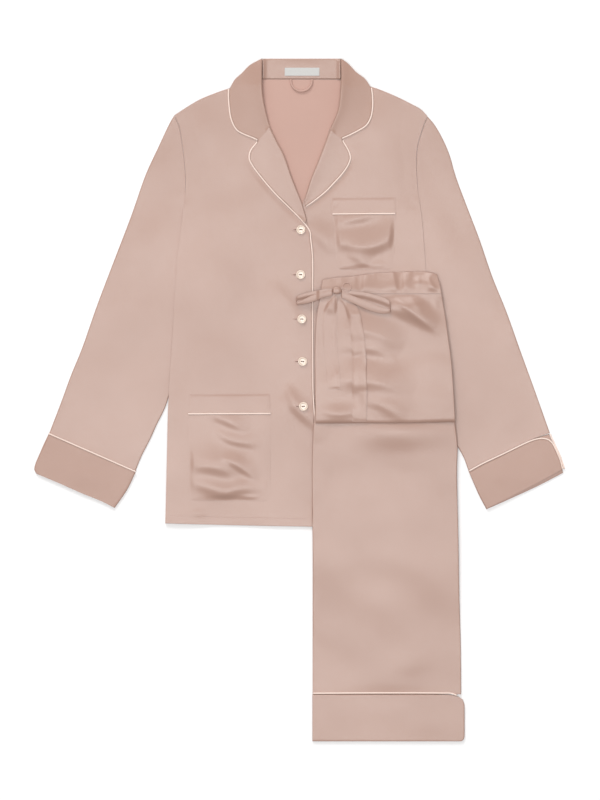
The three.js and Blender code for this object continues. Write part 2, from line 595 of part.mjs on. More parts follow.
function body() {
  const { shoulder, neck } = STEPS;
  const rightSide = join(along(SIDE_RIGHT, STEPS.body), armholeRight);
  const leftSide = join(along(SIDE_LEFT, STEPS.body), armholeLeft);
  const north = join(along(SHOULDER_RIGHT, shoulder), straight(SHOULDER_RIGHT.at(-1), SHOULDER_LEFT[0], neck),
    along(SHOULDER_LEFT, shoulder));
  lay('back_panel', 'reverse', panel({
    south: pinned(along(BACK_HEM, 2 * shoulder + neck), SIDE_RIGHT[0], SIDE_LEFT[0]), north,
    west: rightSide, east: leftSide,
  }, { on: [...those('sleeve_right', 'sleeve_left'), fallOfCollar()] }));

  const rollLeft = join(along(FRONT_EDGE_LEFT, STEPS.frontEdge),
    along([FRONT_EDGE_LEFT.at(-1), ...ROLL_LEFT], STEPS.roll));
  lay('front_left', 'satin', panel({
    south: along(HEM_LEFT, STEPS.front),
    north: pinned(along(SHOULDER_LEFT, STEPS.front), ROLL_LEFT.at(-1), SHOULDER_LEFT.at(-1)),
    west: rollLeft, east: leftSide,
  }, { on: those('back_panel', 'sleeve_left') }));

  const edge = offset(along(FRONT_EDGE, STEPS.frontEdge), PIPING_RADIUS + GAP);
  const rollRight = join(edge, along([edge.at(-1), ...ROLL_RIGHT], STEPS.roll));
  lay('front_right', 'satin', panel({
    south: pinned(along(HEM_RIGHT, STEPS.front), SIDE_RIGHT[0], edge[0]),
    north: pinned(along(SHOULDER_RIGHT, STEPS.front), SHOULDER_RIGHT[0], ROLL_RIGHT.at(-1)),
    west: rightSide, east: rollRight,
  }, { on: those('back_panel', 'sleeve_right', 'front_left'), lift: (p) => foldsAt(FRONT_FOLDS, p) }));
}

// Outline of the collar's hidden fall, as ground for the back that lies on it
function fallOfCollar() {
  const { west, east, fold: top, fall, fallReach } = COLLAR_BACK;
  const [southWest, southEast, northWest, northEast] = points([west - fallReach, fall],
    [east + fallReach, fall], [west, top], [east, top]);
  return { heights: heightsOf(panel({
    south: straight(southWest, southEast, STEPS.collar), north: straight(northWest, northEast, STEPS.collar),
    west: straight(southWest, northWest, STEPS.fall), east: straight(southEast, northEast, STEPS.fall),
  })) };
}

function collar() {
  const { west, east, neck, fold: top, fall, middle, fallReach, bend } = COLLAR_BACK;
  const level = 2 * PLY + GAP;
  const rows = table(['y', 'outer', 'inner', 'inset', 'reach'],
    [fall, 0, PLY, 0, fallReach], [middle, 0, PLY, 0, (fallReach * (top - middle)) / (top - fall)],
    [top - bend, 0, PLY, bend / 2, 0], [top, level / 2, level / 2, PLY, 0],
    [top - bend, level, level - PLY, bend / 2, 0], [neck, level, level - PLY, 0, 0]);
  const face = (column, insetShare) => rows.map((row) => (
    Array.from({ length: STEPS.collar + 1 }, (_, i) => ({
      x: THREE.MathUtils.lerp(west - row.reach, east + row.reach, i / STEPS.collar),
      y: row.y - insetShare * row.inset,
      z: row[column],
    }))));
  lay('collar_back', 'reverse', wall(face('outer', 0), face('inner', 1)));

  const roll = (inner) => ({ u }) => ROLL.high * Math.exp(-(Math.abs(inner - u) / ROLL.share));
  const clear = PIPING_RADIUS + GAP;
  const leafRight = offset(along(LEAF_EDGE_RIGHT, STEPS.leaf), -clear);
  lay('collar_right', 'satin', panel({
    west: pinned(leafRight, leafRight[0], LEAF_TOP_RIGHT[0]),
    east: along(LEAF_ROLL_RIGHT, STEPS.leaf),
    south: straight(leafRight[0], LEAF_ROLL_RIGHT[0], STEPS.leafAcross),
    north: along(LEAF_TOP_RIGHT, STEPS.leafAcross),
  }, { on: those('front_right', 'back_panel', 'collar_back'), lift: roll(1), sag: SAG.collar }));
  const leafLeft = offset(along(LEAF_EDGE_LEFT, STEPS.leaf), clear);
  lay('collar_left', 'satin', panel({
    west: along(LEAF_ROLL_LEFT, STEPS.leaf), east: pinned(leafLeft, leafLeft[0], LEAF_TOP_LEFT.at(-1)),
    south: straight(LEAF_ROLL_LEFT[0], leafLeft[0], STEPS.leafAcross),
    north: along(LEAF_TOP_LEFT, STEPS.leafAcross),
  }, { on: those('front_left', 'back_panel', 'collar_back'), lift: roll(0), sag: SAG.collar }));
  const lapelRight = offset(lapelLineRight, -clear).slice(-STEPS.lapel - 1);
  lay('lapel_right', 'satin', panel({
    west: lapelRight, east: along(LAPEL_ROLL_RIGHT, STEPS.lapel),
    south: straight(lapelRight[0], LAPEL_ROLL_RIGHT[0], STEPS.leafAcross),
    north: straight(lapelRight.at(-1), LAPEL_ROLL_RIGHT.at(-1), STEPS.leafAcross),
  }, { on: those('front_right'), lift: roll(1) }));
  const lapelLeft = offset(along(LAPEL_EDGE_LEFT, STEPS.lapel), clear);
  lay('lapel_left', 'satin', panel({
    west: along(LAPEL_ROLL_LEFT, STEPS.lapel), east: lapelLeft,
    south: straight(LAPEL_ROLL_LEFT[0], lapelLeft[0], STEPS.leafAcross),
    north: straight(LAPEL_ROLL_LEFT.at(-1), lapelLeft.at(-1), STEPS.leafAcross),
  }, { on: those('front_left'), lift: roll(0) }));
}

function pockets() {
  const pocket = (name, on, shape, folds) => {
    const { bandTop, bandWest, bandEast, piping, west, east } = shape;
    const [bottomWest, bottomEast] = [west[0], east[0]];
    const [topWest, topEast] = [west.at(-1), east.at(-1)];
    lay(name, 'satin', panel({
      south: straight(bottomWest, bottomEast, STEPS.pocketAcross),
      north: straight(topWest, topEast, STEPS.pocketAcross),
      west: cornered(west, 3, STEPS.pocket), east: cornered(east, 3, STEPS.pocket),
    }, { on, lift: (p) => foldsAt(folds, p) }));
    const clear = PIPING_RADIUS + GAP;
    const [low, high] = [piping + clear, bandTop];
    const side = (x, lowX) => straight({ x: lowX, y: low }, { x, y: high }, STEPS.band);
    lay(`${name}_band`, 'satin', panel({
      south: straight({ x: topWest.x, y: low }, { x: topEast.x, y: low }, STEPS.pocketAcross),
      north: straight({ x: bandWest, y: high }, { x: bandEast, y: high }, STEPS.pocketAcross),
      west: side(bandWest, topWest.x), east: side(bandEast, topEast.x),
    }, { on }));
    const [lineWest, lineEast] = points([topWest.x - 1, piping], [topEast.x + 1, piping]);
    const line = straight(lineWest, lineEast, STEPS.pocketAcross);
    lay(`piping_${name}`, 'piping', cord(line, lieOn(line, on)));
  };
  pocket('chest_pocket', those('front_left'), CHEST_POCKET, CHEST_FOLDS);
  pocket('hip_pocket', those('front_right'), HIP_POCKET, HIP_POCKET_FOLDS);
}

function jacketPiping() {
  const low = along(FRONT_EDGE, STEPS.frontEdge);
  const lowHeights = lieOn(low, those('back_panel', 'front_left'));
  const highHeights = lieOn(lapelLineRight, those('front_left', 'front_right'));
  const heights = [...lowHeights.slice(0, -1), ...highHeights];
  lay('piping_front', 'piping', cord(join(low, lapelLineRight), heights));
  const edges = table(['name', 'rows', 'steps', 'on'],
    ['piping_lapel_left', LAPEL_EDGE_LEFT, STEPS.lapel, 'front_left'],
    ['piping_collar_right', LEAF_EDGE_RIGHT, STEPS.leaf, 'front_right'],
    ['piping_collar_left', LEAF_EDGE_LEFT, STEPS.leaf, 'front_left'],
    ['piping_cuff_left', CUFF_EDGE_LEFT, STEPS.cuffEdge, 'cuff_left_under']);
  for (const { name, rows, steps, on } of edges) {
    const line = along(rows, steps);
    lay(name, 'piping', cord(line, lieOn(line, those(on))));
  }
  const cuffLine = offset(along(CUFF_RIGHT.north, STEPS.cuffAcross), PIPING_RADIUS + GAP);
  lay('piping_cuff_right', 'piping', cord(cuffLine, lieOn(cuffLine, those('sleeve_right'))));
  const ventLine = along(CUFF_UNDER_EDGE_LEFT, STEPS.vent);
  lay('piping_cuff_left_under', 'piping', cord(ventLine, ventLine.map(() => GAP)));
}

async function trims() {
  const { west, east, south, north, thick } = LABEL;
  lay('label', 'label', panel({
    south: straight({ x: west, y: south }, { x: east, y: south }, STEPS.label),
    north: straight({ x: west, y: north }, { x: east, y: north }, STEPS.label),
    west: points([west, south], [west, north]),
    east: points([east, south], [east, north]),
  }, { on: those('collar_back'), thick }));
  const { x, top, bottom, halfWidth, radius } = HANG_LOOP;
  const loopSide = (side) => points([x + side * halfWidth, top], [x + side * halfWidth, (top + bottom) / 2],
    [x + (side * halfWidth) / 2, bottom + radius]);
  const loop = along([...loopSide(-1), { x, y: bottom }, ...loopSide(1).reverse()], STEPS.loop);
  lay('hang_loop', 'satin', cord(loop, lieOn(loop, those('back_panel')), radius));
  const button = await buttonShape();
  const ground = groundOf(those('front_right'));
  BUTTONS.forEach((place, k) => {
    const z = ground(place.x, place.y, BUTTON.radius);
    lay(`button_${k + 1}`, 'shell', button.clone().translate(place.x, place.y, z));
  });
}

function trousers() {
  const leg = {
    south: straight(LEG.west[0], LEG.east[0], STEPS.legAcross),
    north: straight(LEG.west.at(-1), LEG.east.at(-1), STEPS.legAcross),
    west: along(LEG.west, STEPS.leg), east: along(LEG.east, STEPS.leg),
  };
  const lower = those('back_panel', 'sleeve_left', 'front_left', 'front_right', 'piping_front');
  lay('leg_under', 'satin', panel(leg, { on: lower, thick: DOUBLE_PLY, edge: ROUND_EDGE }));
  const turnUp = {
    south: along(TURN_UP.south, STEPS.legAcross), north: along(TURN_UP.north, STEPS.legAcross),
    west: along(TURN_UP.west, TURN_UP.east.length - 1), east: TURN_UP.east,
  };
  lay('leg_top', 'satin', panel(leg, {
    on: [...lower, laid.leg_under], thick: DOUBLE_PLY, edge: ROUND_EDGE, lift: (p) => foldsAt(LEG_FOLDS, p),
  }));
  lay('trouser_cuff_under', 'satin', panel(turnUp, { thick: CUFF_PLY, edge: ROUND_EDGE }));
  lay('trouser_cuff', 'satin', panel(turnUp, {
    on: those('trouser_cuff_under'), thick: CUFF_PLY, edge: ROUND_EDGE,
  }));
  const turnUpLine = along(TURN_UP.piping, STEPS.turnUpPiping);
  lay('piping_trouser_cuff', 'piping', cord(turnUpLine, lieOn(turnUpLine, those('leg_top'))));

  const { inset, south, north, thick } = HIDDEN_FOLD;
  const trim = (rows, move) => rows.map(({ x, y }) => (
    { x: x + move, y: THREE.MathUtils.clamp(y, south, north) }));
  const [foldWest, foldEast] = [trim(HIP.west, inset), trim(HIP.east, -inset)];
  lay('trouser_fold', 'satin', panel({
    south: straight(foldWest[0], foldEast[0], STEPS.fold),
    north: straight(foldWest.at(-1), foldEast.at(-1), STEPS.fold),
    west: along(foldWest, STEPS.fold), east: along(foldEast, STEPS.fold),
  }, { on: [...lower, ...those('leg_under', 'leg_top')], thick, edge: LAYERED_EDGE }));
  const under = [...lower, ...those('leg_under', 'leg_top', 'trouser_fold')];
  lay('trouser_hip', 'satin', panel({
    south: straight(HIP.west[0], HIP.east[0], STEPS.hipAcross),
    north: straight(HIP.west.at(-1), HIP.east.at(-1), STEPS.hipAcross),
    west: along(HIP.west, STEPS.hip), east: along(HIP.east, STEPS.hip),
  }, { on: under, thick: DOUBLE_PLY, edge: ROUND_EDGE, lift: (p) => foldsAt(WAIST_FOLDS, p) }));
  const gather = ({ x, v }) => GATHERS.reduce((sum, row) => (
    sum + row.high * Math.exp(-(((x - row.x) / row.wide) ** 2)) * (1 - v * v)), 0);
  lay('waistband', 'satin', panel({
    south: straight(WAIST.west[0], WAIST.east[0], STEPS.waistAcross),
    north: along(WAIST.north, STEPS.waistAcross),
    west: along(WAIST.west, STEPS.waist), east: along(WAIST.east, STEPS.waist),
  }, { on: under, thick: WAIST.thick, edge: LAYERED_EDGE, swell: gather }));
}

// Bow of the tie: a flat loop whose two runs part towards its tip
function bow(rows, on, westward) {
  const run = (low, high) => rows.map((row) => Array.from({ length: STEPS.tieAcross + 1 }, (_, k) => ({
    x: row.x, y: THREE.MathUtils.lerp(row[low], row[high], k / STEPS.tieAcross),
  })));
  const below = run('low', 'high');
  const above = run('upperLow', 'upperHigh');
  const upper = settle(above, on, SAG.bow);
  const lower = settle(below, on, SAG.bow);
  const z = lower.map((row, j) => row.map((height, i) => Math.max(height, upper[j][i])));
  const stations = [];
  below.forEach((row, j) => stations.push({ row, z: z[j], outer: 0, inner: TIE_PLY }));
  const tip = rows.length - 1;
  const reach = (westward ? -1 : 1) * (TIE_PLY + rows[tip].open) * BOW_TIP;
  const middle = below[tip].map(({ x, y }, i) => ({ x: x + reach, y: (y + above[tip][i].y) / 2 }));
  const halfway = TIE_PLY + rows[tip].open / 2;
  stations.push({ row: middle, z: z[tip], outer: halfway, tip: Math.sign(reach) * TIE_PLY });
  above.map((row, j) => ({ row, j })).reverse().forEach(({ row, j }) => {
    const top = 2 * TIE_PLY + rows[j].open;
    stations.push({ row, z: z[j], outer: top, inner: top - TIE_PLY });
  });
  const face = (inside) => stations.map((station) => station.row.map(({ x, y }, i) => ({
    x: inside && station.tip ? x - station.tip : x,
    y,
    z: station.z[i] + (inside && !station.tip ? station.inner : station.outer),
  })));
  return westward ? wall(face(false), face(true)) : wall(face(true), face(false));
}

function tie() {
  const under = those('front_left', 'front_right', 'piping_front', 'trouser_hip', 'waistband');
  const ground = groundOf(under);
  const { x, y, radiusX, radiusY, radiusZ, around, up } = KNOT;
  const seat = ground(x, y, radiusX);
  const knot = new THREE.SphereGeometry(1, around, up).rotateX(Math.PI / 2).scale(radiusX, radiusY, radiusZ);
  const { vertices, faces } = welded(knot.translate(x, y, seat + radiusZ));
  lay('tie_knot', 'satin', geometryOf(table(['x', 'y', 'z'], ...vertices), faces));
  const tail = (rows, on) => {
    const side = (column) => along(rows.map((row) => ({ x: row[column], y: row.y })), STEPS.tail);
    const [west, east] = [side('west'), side('east')];
    return panel({
      west, east,
      south: straight(west[0], east[0], STEPS.tieAcross),
      north: straight(west.at(-1), east.at(-1), STEPS.tieAcross),
    }, { on, thick: TIE_PLY, sag: SAG.tail });
  };
  lay('tie_tail_right', 'satin', tail(TAIL_RIGHT, under));
  lay('tie_tail_left', 'satin', tail(TAIL_LEFT, under));
  lay('tie_loop_right', 'satin', bow(BOW_RIGHT, [...under, laid.tie_tail_right], true));
  lay('tie_loop_left', 'satin', bow(BOW_LEFT, [...under, laid.tie_tail_left], false));
}

sleeves();
cuffs();
body();
collar();
pockets();
jacketPiping();
await trims();
trousers();
tie();

export default set;
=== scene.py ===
"""Looks of a satin pyjama set laid flat: a notched-collar jacket and, on it, its folded trousers.

Lengths in the tables are millimetres, +Y towards the jacket's collar and +X towards the wearer's left.
Every piece of cloth is a thin closed shell laid on the pieces that were laid before it.
"""
import sys
import logging
import math
from dataclasses import dataclass, field
from enum import Enum
from typing import Callable, Iterable, Sequence

import bpy
import numpy as np
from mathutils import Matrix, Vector
from mathutils.bvhtree import BVHTree


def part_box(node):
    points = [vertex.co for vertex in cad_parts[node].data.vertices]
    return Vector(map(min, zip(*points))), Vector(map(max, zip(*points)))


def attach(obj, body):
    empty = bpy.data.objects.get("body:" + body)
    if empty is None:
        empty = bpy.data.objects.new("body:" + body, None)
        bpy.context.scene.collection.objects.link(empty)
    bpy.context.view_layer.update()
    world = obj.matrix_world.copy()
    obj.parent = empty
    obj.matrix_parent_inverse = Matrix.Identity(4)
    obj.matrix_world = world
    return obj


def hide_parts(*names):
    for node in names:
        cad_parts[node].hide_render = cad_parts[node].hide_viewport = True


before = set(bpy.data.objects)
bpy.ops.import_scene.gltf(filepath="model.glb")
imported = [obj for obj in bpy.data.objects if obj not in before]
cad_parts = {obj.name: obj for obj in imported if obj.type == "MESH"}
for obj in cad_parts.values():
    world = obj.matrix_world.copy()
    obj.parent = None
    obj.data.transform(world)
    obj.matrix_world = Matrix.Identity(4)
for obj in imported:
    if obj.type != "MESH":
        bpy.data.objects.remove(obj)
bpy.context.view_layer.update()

LOG = logging.getLogger("pyjama_set")

Rows = Sequence[tuple[float, float]]
Grid = np.ndarray
Colour = tuple[float, float, float]

MM = 0.001
BODY = "root"

# Thicknesses and gaps
PLY = 0.9
CUFF_PLY = 1.8
LEG_PLY = 1.5
TIE_PLY = 0.5
LAYER_GAP = 0.12
SEAM_GAP = 0.2
PIPING_RADIUS = 1.1


def smooth_line(rows: Rows, steps: int = 16) -> Grid:
    """Draws a smooth curve through the rows of a table.

    Args:
        rows: The points that the curve passes through.
        steps: Points on the curve between two rows.

    Returns:
        The curve's points, one row each.
    """
    given = np.asarray(rows, float)
    if len(given) < 3:
        return given
    ends = np.vstack([2 * given[0] - given[1], given, 2 * given[-1] - given[-2]])
    knots = np.concatenate([[0.0], np.cumsum(np.linalg.norm(np.diff(ends, axis=0), axis=1) ** 0.5)])
    parts = []
    for k in range(1, len(ends) - 2):
        t = np.linspace(knots[k], knots[k + 1], steps, endpoint=False)[:, None]
        level = [ends[k - 1 + i] for i in range(4)]
        times = [knots[k - 1 + i] for i in range(4)]
        for span in (1, 2):
            level = [((times[i + span] - t) * level[i] + (t - times[i]) * level[i + 1])
                     / (times[i + span] - times[i]) for i in range(len(level) - 1)]
        parts.append(((times[2] - t) * level[0] + (t - times[1]) * level[1]) / (times[2] - times[1]))
    return np.vstack([*parts, given[-1:]])


def sampled(line: Grid, shares: Grid) -> Grid:
    """Reads a line at shares of its length.

    Args:
        line: The line's points, in two or three dimensions.
        shares: Places along the line, from 0 to 1.

    Returns:
        One point for each share.
    """
    lengths = np.concatenate([[0.0], np.cumsum(np.linalg.norm(np.diff(line, axis=0), axis=1))])
    return np.stack([np.interp(shares * lengths[-1], lengths, line[:, k]) for k in range(line.shape[1])], -1)


def length_of(line: Grid) -> float:
    """Measures a line."""
    return float(np.linalg.norm(np.diff(line, axis=0), axis=1).sum())


def shifted(line: Grid, distance: float) -> Grid:
    """Moves a line sideways, to its left when the distance is positive."""
    step = np.gradient(line, axis=0)
    step /= np.maximum(np.linalg.norm(step, axis=1, keepdims=True), 1e-9)
    return line + distance * np.stack([-step[:, 1], step[:, 0]], -1)


def joined(*lines: Grid) -> Grid:
    """Joins lines that follow on from each other."""
    return np.vstack([lines[0], *(line[1:] for line in lines[1:])])


def softened(values: Grid, passes: int) -> Grid:
    """Blurs a grid of values a little with each pass, up to its edges."""
    for _ in range(passes):
        padded = np.pad(values, 1, mode="edge")
        values = (padded[:-2, 1:-1] + 2 * padded[1:-1, 1:-1] + padded[2:, 1:-1]) / 4
        padded = np.pad(values, 1, mode="edge")
        values = (padded[1:-1, :-2] + 2 * padded[1:-1, 1:-1] + padded[1:-1, 2:]) / 4
    return values


def nearest_on(line: Grid, xy: Grid) -> tuple[Grid, Grid]:
    """Finds how far plan points are from a line, and where along it.

    Args:
        line: The line's points.
        xy: Plan points.

    Returns:
        The distance, positive on the line's left, and the place along the line in millimetres.
    """
    lengths = np.concatenate([[0.0], np.cumsum(np.linalg.norm(np.diff(line, axis=0), axis=1))])
    nearest = np.full(xy.shape[:-1], np.inf)
    signed, place = np.zeros_like(nearest), np.zeros_like(nearest)
    for k in range(len(line) - 1):
        run = line[k + 1] - line[k]
        away = xy - line[k]
        t = np.clip((away @ run) / (run @ run), 0, 1)
        distance = np.linalg.norm(away - t[..., None] * run, axis=-1)
        closer = distance < nearest
        side = run[0] * away[..., 1] - run[1] * away[..., 0]
        nearest = np.where(closer, distance, nearest)
        signed = np.where(closer, np.where(side > 0, distance, -distance), signed)
        place = np.where(closer, lengths[k] + t * (lengths[k + 1] - lengths[k]), place)
    return signed, place


class Shaper:
    """Something that adds height to the cloth."""

    def height(self, xy: Grid) -> Grid:
        """Gives the height that it adds at each plan point."""
        return np.zeros(xy.shape[:-1])

    def shape(self, level: Grid, xy: Grid) -> Grid:
        """Changes a surface's height."""
        return level + self.height(xy)


@dataclass(frozen=True)
class Fold(Shaper):
    """A soft ridge, or a trough where high is negative, whose two flanks fall off over their own widths."""

    line: Rows
    high: float
    left: float
    right: float

    def height(self, xy: Grid) -> Grid:
        """Gives the height that the fold adds.

        Args:
            xy: Plan points, in millimetres.

        Returns:
            The added height at each point.
        """
        line = smooth_line(self.line, 6)
        signed, along = nearest_on(line, xy)
        place = along / length_of(line)
        wide = np.where(signed > 0, self.left, self.right)
        taper = np.sin(math.pi * np.clip(place, 0, 1)) ** 1.3
        return self.high * taper * np.exp(-((signed / wide) ** 2))


@dataclass(frozen=True)
class Swell(Shaper):
    """A broad soft rise of the cloth, or a hollow where high is negative."""

    x: float
    y: float
    wide: float
    deep: float
    high: float

    def height(self, xy: Grid) -> Grid:
        """Gives the height that the swell adds at each plan point."""
        away = ((xy[..., 0] - self.x) / self.wide) ** 2 + ((xy[..., 1] - self.y) / self.deep) ** 2
        return self.high * np.exp(-away)


@dataclass(frozen=True)
class Pucker(Shaper):
    """Small uneven waves that a seam draws into the cloth beside it."""

    line: Rows
    high: float = 0.12
    wave: float = 9.0
    reach: float = 7.0

    def height(self, xy: Grid) -> Grid:
        """Gives the height that the puckers add at each plan point."""
        signed, place = nearest_on(smooth_line(self.line, 6), xy)
        turns = 2 * math.pi * place / self.wave
        uneven = np.sin(turns + 1.7 * np.sin(0.29 * turns) + 0.8 * np.sin(0.11 * turns))
        strength = 0.6 + 0.4 * np.sin(0.17 * turns + 1)
        return self.high * strength * uneven * np.exp(-np.abs(signed) / self.reach)


@dataclass(frozen=True)
class Seam(Shaper):
    """Draws the cloth to one height along a line, as a seam does."""

    line: Rows
    level: float
    reach: float = 6.0

    def shape(self, level: Grid, xy: Grid) -> Grid:
        """Changes a surface's height near the line."""
        signed, _ = nearest_on(smooth_line(self.line, 4), xy)
        return level + (self.level - level) * np.exp(-((signed / self.reach) ** 2))


@dataclass(frozen=True)
class Roll(Shaper):
    """Lifts the cloth towards the line that it turns back along, and rounds it off there."""

    line: Rows
    first: float
    last: float
    crown: float
    reach: float
    radius: float = 2.2
    ease: float = 0.0

    def shape(self, level: Grid, xy: Grid) -> Grid:
        """Changes a surface's height beside the line."""
        line = smooth_line(self.line, 6)
        signed, place = nearest_on(line, xy)
        away = np.abs(signed)
        share = place / length_of(line)
        high = self.first + (self.last - self.first) * np.clip(share * 1.6, 0, 1)
        high = high * (1 - self.ease * np.clip((share - 0.6) / 0.4, 0, 1))
        fall = np.clip((away - self.crown) / self.reach, 0, 1)
        bend = 1 - np.clip(away / self.radius, 0, 1)
        drop = self.radius * (1 - np.sqrt(1 - bend * bend * 0.98))
        return level + high * (1 - fall) * (1 - 0.25 * fall) - drop


@dataclass(frozen=True)
class Rumple(Shaper):
    """Faint broad unevenness of cloth that was laid out by hand, the same at every run."""

    high: float
    wave: float
    seed: int
    lean: float = 0.0

    def height(self, xy: Grid) -> Grid:
        """Gives the height that the unevenness adds at each plan point."""
        dice = np.random.default_rng(self.seed)
        total = np.zeros(xy.shape[:-1])
        for _ in range(9):
            angle = self.lean + dice.normal(0, 0.9)
            wave = self.wave * dice.uniform(0.6, 1.7)
            along = (xy[..., 0] * math.cos(angle) + xy[..., 1] * math.sin(angle)) / wave
            bend = dice.uniform(0.5, 1.2) * np.sin(2 * math.pi * (xy[..., 0] * math.sin(angle)
                                                                  - xy[..., 1] * math.cos(angle)) / (2.3 * wave))
            total += dice.uniform(0.5, 1.0) * np.sin(2 * math.pi * along + bend + dice.uniform(0, 6.28))
        return self.high * total / 3


Relief = Sequence[Shaper]


@dataclass
class Ground:
    """Height of everything laid so far, in square cells of one millimetre."""

    west: float = -420.0
    south: float = -530.0
    across: int = 840
    up: int = 1060
    tops: Grid = field(init=False)

    def __post_init__(self) -> None:
        """Starts with the bare surface."""
        self.tops = np.zeros((self.up, self.across), np.float32)

    def cells(self, xy: Grid) -> tuple[Grid, Grid]:
        """Gives the row and column of the cell that holds each point."""
        columns = np.clip(np.floor(xy[..., 0] - self.west).astype(int), 0, self.across - 1)
        rows = np.clip(np.floor(xy[..., 1] - self.south).astype(int), 0, self.up - 1)
        return rows, columns

    def under(self, xy: Grid, reach: int = 2) -> Grid:
        """Finds the highest cell round each point.

        Args:
            xy: Plan points, in millimetres.
            reach: Cells to each side that count.

        Returns:
            The height under each point.
        """
        rows, columns = self.cells(xy)
        highest = self.tops[rows, columns]
        for j in range(-reach, reach + 1):
            for i in range(-reach, reach + 1):
                near = self.tops[np.clip(rows + j, 0, self.up - 1), np.clip(columns + i, 0, self.across - 1)]
                highest = np.maximum(highest, near)
        return highest

    def copy(self) -> "Ground":
        """Makes a second map with the same heights."""
        made = Ground(self.west, self.south, self.across, self.up)
        made.tops = self.tops.copy()
        return made

    def cover(self, top: Grid) -> None:
        """Lays a grid of points on the map.

        Args:
            top: The piece's upper surface, in millimetres.
        """
        steps = 4
        shares = np.arange(steps) / steps
        spread = []
        for v in shares:
            for u in shares:
                spread.append((1 - v) * (1 - u) * top[:-1, :-1] + (1 - v) * u * top[:-1, 1:]
                              + v * (1 - u) * top[1:, :-1] + v * u * top[1:, 1:])
        points = np.concatenate([part.reshape(-1, 3) for part in spread] + [top[-1], top[:, -1]])
        rows, columns = self.cells(points)
        np.maximum.at(self.tops, (rows, columns), points[:, 2].astype(np.float32))


GROUND = Ground()


class CadTop:
    """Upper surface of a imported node."""

    def __init__(self, node: str) -> None:
        """Reads the node's mesh.

        Args:
            node: The node's name.
        """
        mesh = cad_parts[node].data
        vertices = [v.co / MM for v in mesh.vertices]
        self.tree = BVHTree.FromPolygons(vertices, [list(p.vertices) for p in mesh.polygons])

    def heights(self, xy: Grid) -> Grid:
        """Gives the surface's height at plan points, or that of its nearest edge beyond it."""
        down = Vector((0, 0, -1))
        start = 60.0

        def one(x: float, y: float) -> float:
            hit = self.tree.ray_cast(Vector((x, y, start)), down)[0]
            if hit is None:
                hit = self.tree.find_nearest(Vector((x, y, start / 2)))[0]
            return hit.z

        flat = xy.reshape(-1, 2)
        return np.array([one(x, y) for x, y in flat]).reshape(xy.shape[:-1])


@dataclass(frozen=True)
class Sides:
    """The four sides of a piece's outline, south and north from the west, west and east from the south."""

    south: Grid
    north: Grid
    west: Grid
    east: Grid

    @classmethod
    def of(cls, south: Rows, north: Rows, west: Rows, east: Rows) -> "Sides":
        """Makes sides from four tables of points."""
        return cls(*(smooth_line(rows) for rows in (south, north, west, east)))

    def grid(self, cell: float, rim: Sequence[float]) -> Grid:
        """Fills the outline with plan points.

        Args:
            cell: Distance between points, in millimetres.
            rim: Distances from the edge of the first lines of points.

        Returns:
            Rows of points from the south, each from the west.
        """
        def spaced(first: Grid, second: Grid) -> Grid:
            length = (length_of(first) + length_of(second)) / 2
            edge = [share for share in (distance / length for distance in rim) if share < 0.2]
            start = edge[-1] if edge else 0.0
            count = max(2, math.ceil((1 - 2 * start) * length / cell))
            middle = np.linspace(start, 1 - start, count + 1)
            if not edge:
                return middle
            return np.concatenate([[0.0], edge[:-1], middle, [1 - share for share in reversed(edge[:-1])], [1.0]])

        u = spaced(self.south, self.north)
        v = spaced(self.west, self.east)
        south, north = sampled(self.south, u), sampled(self.north, u)
        west, east = sampled(self.west, v), sampled(self.east, v)
        across, up = u[None, :, None], v[:, None, None]
        ruled = (1 - up) * south + up * north + (1 - across) * west[:, None] + across * east[:, None]
        corners = ((1 - across) * ((1 - up) * south[0] + up * north[0])
                   + across * ((1 - up) * south[-1] + up * north[-1]))
        return ruled - corners


def edge_distance(grid: Grid, open_sides: str = "") -> Grid:
    """Measures how far each point of a grid is from its outline.

    Args:
        grid: Plan points in rows.
        open_sides: Initials of sides that don't count, such as "n".

    Returns:
        The distance along the grid's lines to the nearest side.
    """
    along = np.linalg.norm(np.diff(grid, axis=1), axis=-1)
    up = np.linalg.norm(np.diff(grid, axis=0), axis=-1)
    from_west = np.pad(np.cumsum(along, axis=1), ((0, 0), (1, 0)))
    from_south = np.pad(np.cumsum(up, axis=0), ((1, 0), (0, 0)))
    sides = {"w": from_west, "e": from_west[:, -1:] - from_west,
             "s": from_south, "n": from_south[-1:] - from_south}
    return np.minimum.reduce([value for side, value in sides.items() if side not in open_sides])


def edge_ring(index: Grid) -> Grid:
    """Gives the numbers round the edge of a grid, anticlockwise."""
    return np.concatenate([index[0, :-1], index[:-1, -1], index[-1, :0:-1], index[:0:-1, 0]])


def mesh_object(name: str, points: Grid, faces: Iterable[Sequence[int]]) -> bpy.types.Object:
    """Makes an object from points in millimetres.

    Args:
        name: The object's name.
        points: Its vertices.
        faces: Vertex numbers of each face, anticlockwise from outside.

    Returns:
        The new object, shaded smooth.
    """
    mesh = bpy.data.meshes.new(name)
    mesh.from_pydata((np.asarray(points) * MM).tolist(), [], [list(face) for face in faces])
    mesh.shade_smooth()
    mesh.update()
    made = bpy.data.objects.new(name, mesh)
    bpy.context.scene.collection.objects.link(made)
    return made


